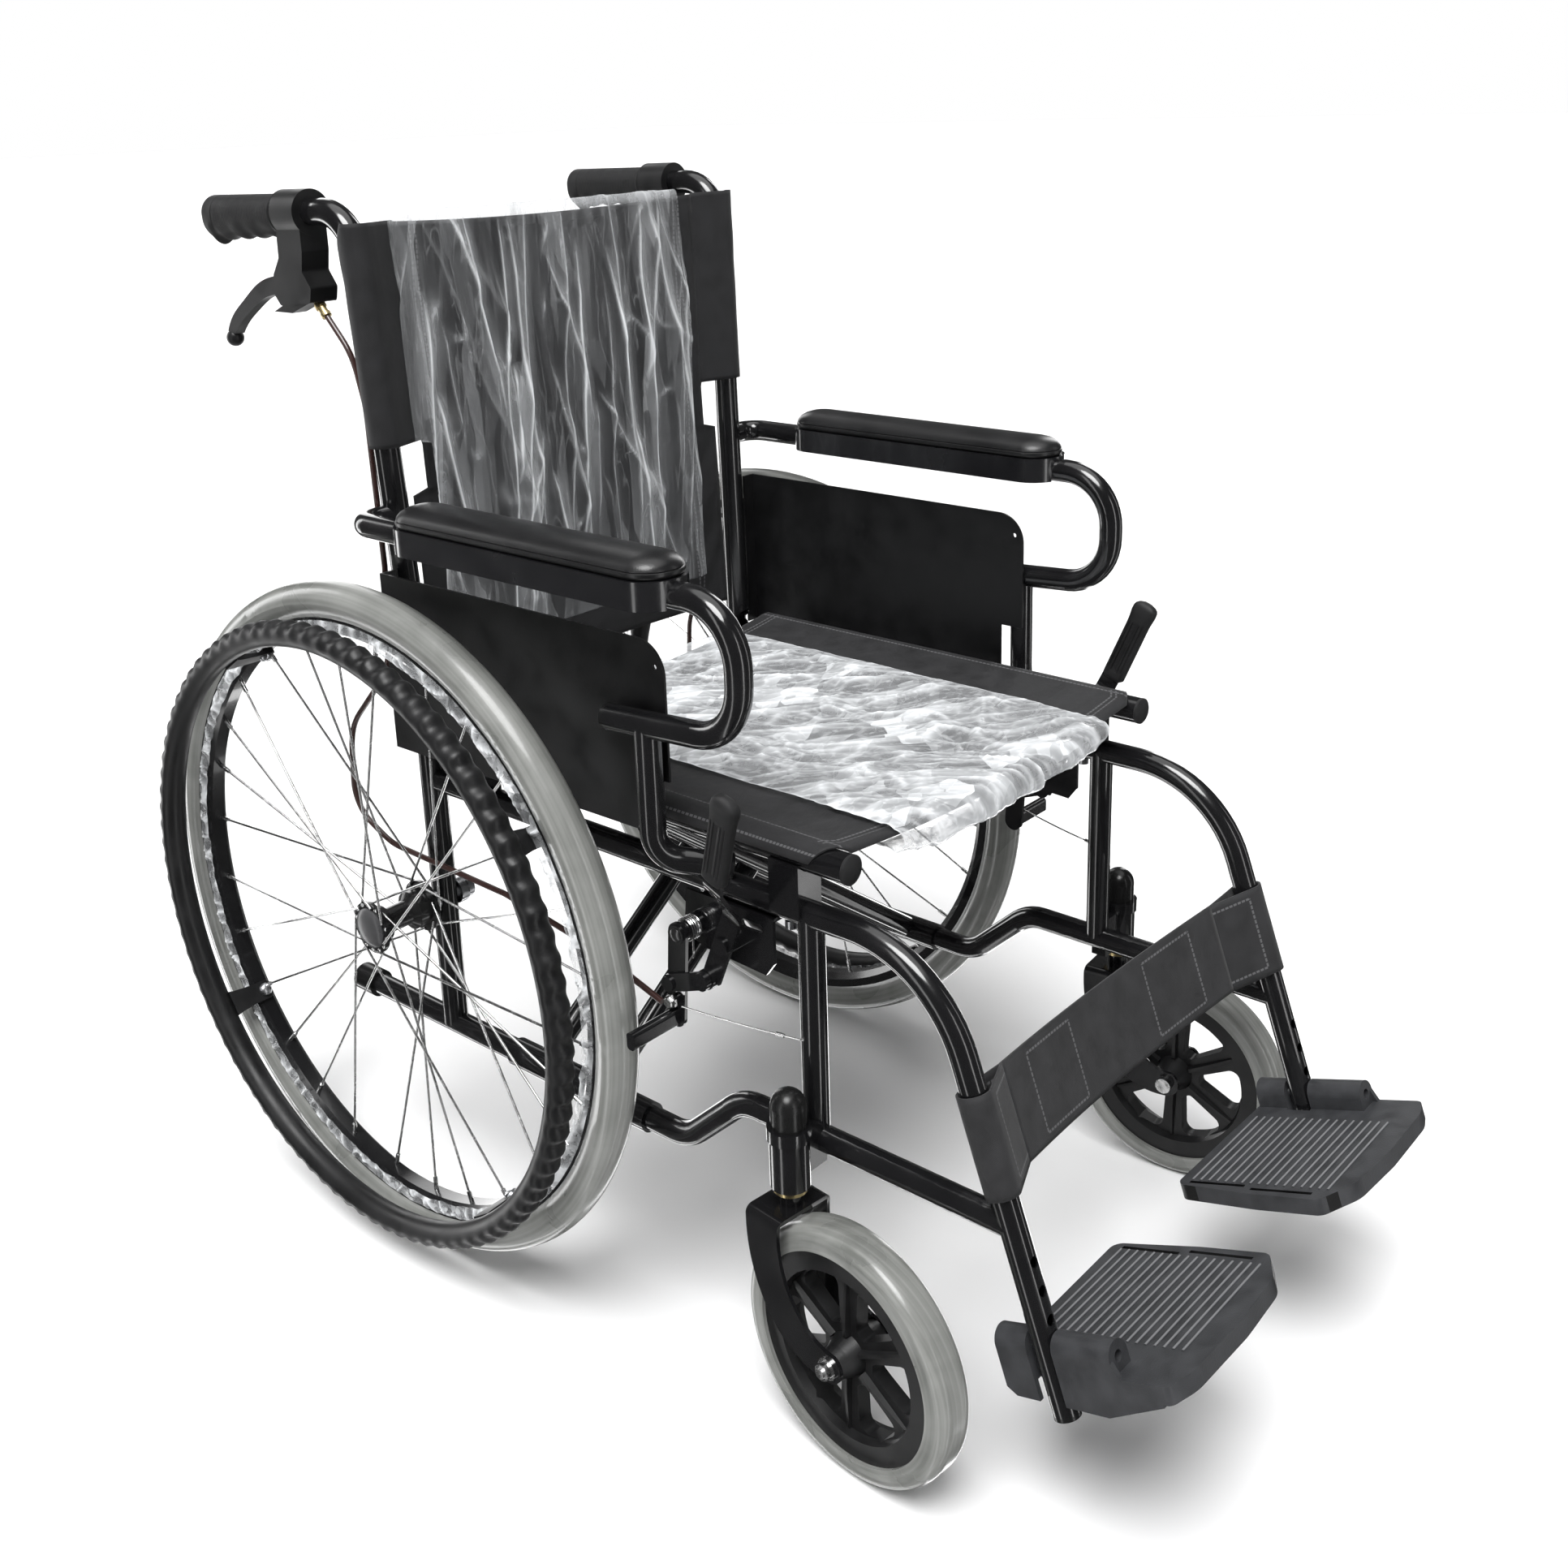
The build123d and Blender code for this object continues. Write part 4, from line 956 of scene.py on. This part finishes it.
def back_panel():
    rows, columns = 98, 75
    points, cut = [], []
    for z in np.linspace(BACK_LOW, BACK_TOP - 0.001, rows):
        for share in np.linspace(-1, 1, columns):
            half = back_half(z)
            droop = 0.005 * (1 - share ** 2) if z > BACK_TOP - 0.01 else 0
            points.append((share * half, back_post(z)[1], z - droop))
            cut.append((share * half, z))
    cloth = piece("back_fabric", grid(points, rows, columns), BACK_NYLON, cut=cut, slot="fabric_black")
    hem = (rows - 3) * columns
    edges = (0, columns - 1)
    held = [index for index in range(rows * columns) if index % columns in edges or index > hem]
    settle(cloth, held, 0.004, gravity=0.2)
    shape = points_of(cloth).reshape(rows, columns, 3)
    ease = 1 - np.linspace(-1, 1, columns) ** 2
    shape[:, :, 1] = shape[:, :, 1] + 0.006 * ease[None, :]
    place_points(cloth, shape)
    thicken(cloth, CLOTH)
    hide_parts("back_sling")
    return cloth, shape


def fold_in(thing):
    """Give the piece to the right side's body, with its own copy of its mesh."""
    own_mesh(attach(thing, "right_side"))


def pleats(count, seed, wide, tall):
    """Pleats of gathered film: (place across at the top and at the foot, its two ends, height, width)."""
    pick = random.Random(seed)
    found = []
    for index in range(count):
        top = -wide + 2 * wide * (index + pick.random()) / count
        long = pick.random() < 0.55
        first = pick.uniform(0.0, 0.25) if long else pick.uniform(0.0, 0.75)
        last = pick.uniform(0.75, 1.1) if long else first + pick.uniform(0.15, 0.4)
        drift = pick.gauss(0, 0.022) + (0.05 if pick.random() < 0.12 else 0)
        height, width = pick.uniform(0.002, 0.0062), pick.uniform(0.0022, 0.0052)
        found.append((top, top + drift, first * tall, last * tall, height, width))
    return found


def pleat_height(found, across, down):
    """Summed height of the pleats at a place and their painted highlight there, a bright crest line with
    light fading across one side; each fades at its ends.
    """
    high, crest = 0.0, 0.0
    for top, foot, first, last, tall, wide in found:
        span = last - first
        share = (down - first) / span
        if -0.12 < share < 1.12:
            at = top + (foot - top) * share + 0.002 * math.sin(31 * down + 90 * top)
            off = (across - at) / wide
            if abs(off) < 4:
                fade = min(1.0, (share + 0.12) / 0.2, (1.12 - share) / 0.3)
                high += tall * fade / (1 + off * off * (1.6 if off > 0 else 0.7))
                # Painted light on one side of each pleat: bright at the crest, fading across that side.
                side_fall = math.exp(-off * 0.75) if off > 0 else math.exp(off * 6)
                strong = max(0.0, tall - 0.0028) / 0.0034
                # Painted highlight: a thin bright line on the crest of each tall pleat.
                line = 0.5 * strong * math.exp(-(off * 4) ** 2)
                crest += fade * ((0.08 + 0.6 * strong ** 2) * side_fall + line)
    return high, crest


def back_film(shape):
    """Wrapping film down the back: long pleats that run together, folded over the top edge."""
    left, right, low, high = -0.181, 0.153, 0.515, BACK_TOP
    over, roll = 0.04, 0.0042
    drop = high - low
    length = drop + math.pi * roll + over
    rows, columns = 150, 400
    found = pleats(52, 5, 0.178, drop + 0.02)
    heights = shape[:, shape.shape[1] // 2, 2]
    points, cut, crest = [], [], []
    for along in np.linspace(0, length, rows):
        for across in np.linspace(left, right, columns):
            past = along - drop
            turn = min(max(past / roll, 0), math.pi)
            z = low + min(along, drop) + roll * math.sin(turn) - max(past - math.pi * roll, 0)
            if z < BACK_NOTCH:
                across = max(across, -0.1665)
            # The second value is the painted highlight of the pleats here.
            pleat, sharp = pleat_height(found, across, max(drop - along, 0))
            pucker = ridges((across, 0.6 * z, 0.3), 24, 2) * ridges((across, z, 4), 9, 3)
            loose = 1 + noise.noise(Vector((across * 22, z * 9, 1)))
            pleat = min(pleat, 0.0105) + 0.0012 * loose + 0.003 * pucker
            # Painted highlight: pleat crests and their lit sides, puckers, and the film folded over the top
            # edge.
            crest.append(sharp + 0.5 * pucker ** 6 + 0.2 * min(1.0, max(0.0, 1 + past / 0.006)))
            row = int(np.clip(np.searchsorted(heights, z), 0, len(heights) - 1))
            post_x, post_y = back_post(z)
            hump = 0.0134 * max(0.0, min(1.0, (abs(across) - post_x + SLEEVE_REACH) / (SLEEVE_REACH - 0.004)))
            base = np.interp(across, shape[row, :, 0], shape[row, :, 1])
            front = min(base - 0.0024, post_y - hump * (z > BACK_NOTCH - 0.01) - 0.0012) - pleat
            behind = max(base, post_y) + 0.0046 + 0.3 * pleat
            back = front + (behind - front) * (1 - math.cos(turn)) / 2
            points.append((across, back, z + 0.5 * pleat * math.sin(turn)))
            cut.append((across, along))
    look = film("back_film", (1.2, 1, 0.16), 0.02, 0.22, 40)
    sheet = piece("back_film", grid(points, rows, columns), look, cut=cut, crest=crest)
    return sheet


BACK_CLOTH, BACK_SHAPE = back_panel()
BACK_FILM = back_film(BACK_SHAPE)
fold_in(BACK_CLOTH)
fold_in(BACK_FILM)


# ---------------------------------------------------------------- calf strap
STRAP_FROM, STRAP_TO, STRAP_REACH = 0.158, 0.232, 0.046
STRAP_BEHIND = HANGER_FRONT * -0.0095
STRAP_NYLON = fabric("strap_nylon", (0.014, 0.014, 0.015),
                     [("across", 0.054, 0, 0.03), ("across", 0.118, 0, 0.03), ("along", 0.03, 0.054, 0.118)])


def strap():
    stations = []
    for along in np.linspace(STRAP_FROM, STRAP_TO, 16):
        centre = HANGER_FOOT + HANGER_UP * along
        seam = centre - Vector((STRAP_REACH, 0, 0)) + STRAP_BEHIND
        stations.append((centre, seam, HANGER_FRONT, along - 0.195))
    sleeve("strap_loop", stations, 0.0122, "side", STRAP_NYLON)
    half = RAIL_X - STRAP_REACH + 0.001
    rows, columns = 20, 81
    centre = (STRAP_FROM + STRAP_TO) / 2
    points, cut = [], []
    for along in np.linspace(STRAP_FROM, STRAP_TO, rows):
        for across in np.linspace(-half, half, columns):
            sag = 0.012 * (1 - (across / half) ** 2)
            middle_point = HANGER_FOOT + HANGER_UP * along - HANGER_FRONT * sag + STRAP_BEHIND
            points.append((across, middle_point.y, middle_point.z - 0.35 * sag))
            cut.append((across, along - centre))
    band = piece("strap_band", grid(points, rows, columns), STRAP_NYLON, cut=cut, slot="fabric_black")
    thicken(band, 0.0022)
    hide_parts("calf_strap")
    fold_in(band)


strap()


# ---------------------------------------------------------------- seat rail plugs
def rail_plugs():
    """Rubber plugs in the ends of each seat rail; each rail belongs to the brace from the other side."""
    for side, sign in SIDES.items():
        other = "right" if side == "left" else "left"
        plug = [(-0.004, 0.0092), (-0.0005, 0.0098), (0.0, 0.0112), (0.0022, 0.0112), (0.0032, 0.0098),
                (0.0034, 0.0005)]
        front = lathe(plug, (RAIL_X, AXLE.y - 0.4625, RAIL_Z), (0, -1, 0), 32)
        rear = lathe(plug, (RAIL_X, AXLE.y - 0.035, RAIL_Z), (0, 1, 0), 32)
        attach(piece(f"{side}_rail_plugs", joined([front, rear]), BLACK_RUBBER, sign, slot="rubber_black"),
                f"{other}_brace")


rail_plugs()


# ---------------------------------------------------------------- stage, light and camera
def floor():
    look = Look("floor", (0.93, 0.93, 0.93), 0.6)
    look.colour(look.noise(3, 2), (0.92, 0.92, 0.925), (0.94, 0.94, 0.94))
    size = 40
    corners = [(-size, -size, 0), (size, -size, 0), (size, size, 0), (-size, size, 0)]
    ground = piece("floor", (np.array(corners), [[0, 1, 2, 3]]), look.material)
    ground.visible_glossy = False


# Tall soft boxes round the object: (heading in degrees from +X towards +Y, half width, brightness).
SOFT_BOXES = [(18, 7, 4.5), (60, 9, 2.5), (103, 8, 4.5), (172, 6, 2.5), (262, 5, 3.5), (318, 4, 2.0)]


def studio():
    """Dim room with tall soft boxes all round and one large one overhead, before a white backdrop."""
    world = bpy.data.worlds.new("studio")
    bpy.context.scene.world = world
    world.use_nodes = True
    look = Nodes(world.node_tree)
    split = look.split(look.coords.outputs["Generated"])
    heading = look.math("ARCTAN2", split["Y"], split["X"])
    standing = look.spread(split["Z"], 0.0, 1.0, 0.62, 0.5)
    glow = look.spread(split["Z"], 0.07, 1.6, 0.84, 0.9)
    for degrees, half, power in SOFT_BOXES:
        centre = math.radians(degrees if degrees <= 180 else degrees - 360)
        off = look.math("ABSOLUTE", look.math("SUBTRACT", heading, centre))
        box = look.spread(off, 0.0, power, math.radians(half), math.radians(half * 0.7))
        glow = look.math("MULTIPLY_ADD", box, standing, glow)
    seen = look.add("LightPath").outputs["Is Camera Ray"]
    strength = look.math("MULTIPLY_ADD", seen, look.math("SUBTRACT", 1.0, glow), glow)
    look.feed(world.node_tree.nodes["Background"], {"Color": (1, 1, 1, 1), "Strength": strength})


def sun_light(heading, height, power, spread):
    data = bpy.data.lights.new("ceiling_light", "SUN")
    data.energy = power
    data.angle = math.radians(spread)
    lamp = bpy.data.objects.new("ceiling_light", data)
    heading, height = math.radians(heading), math.radians(height)
    level = math.cos(height)
    toward = Vector((math.cos(heading) * level, math.sin(heading) * level, math.sin(height)))
    lamp.rotation_euler = toward.to_track_quat("Z", "Y").to_euler()
    bpy.context.scene.collection.objects.link(lamp)


def camera():
    """Three-quarter view from the front: heading 48.6 degrees off the front, 17 down, rolled slightly."""
    azimuth, elevation, roll = (math.radians(angle) for angle in (-48.60, 17.08, -1.80))
    back = Vector((math.sin(azimuth) * math.cos(elevation), -math.cos(azimuth) * math.cos(elevation),
                   math.sin(elevation)))
    right = (-back).cross(Vector((0, 0, 1))).normalized()
    up = right.cross(-back)
    across = right * math.cos(roll) + up * math.sin(roll)
    above = up * math.cos(roll) - right * math.sin(roll)
    data = bpy.data.cameras.new("camera")
    data.sensor_width = 36
    data.lens = 39.71
    data.shift_x, data.shift_y = 0.0005, -0.1024
    data.clip_start, data.clip_end = 0.02, 60
    view = bpy.data.objects.new("camera", data)
    turn = Matrix((across, above, back)).transposed().to_4x4()
    view.matrix_world = Matrix.Translation((-1.0407, AXLE.y - 1.1522, 0.9698)) @ turn
    bpy.context.scene.collection.objects.link(view)
    bpy.context.scene.camera = view


floor()
studio()
sun_light(205, 62, 3.4, 34)
camera()
bpy.context.scene.view_settings.view_transform = "Standard"
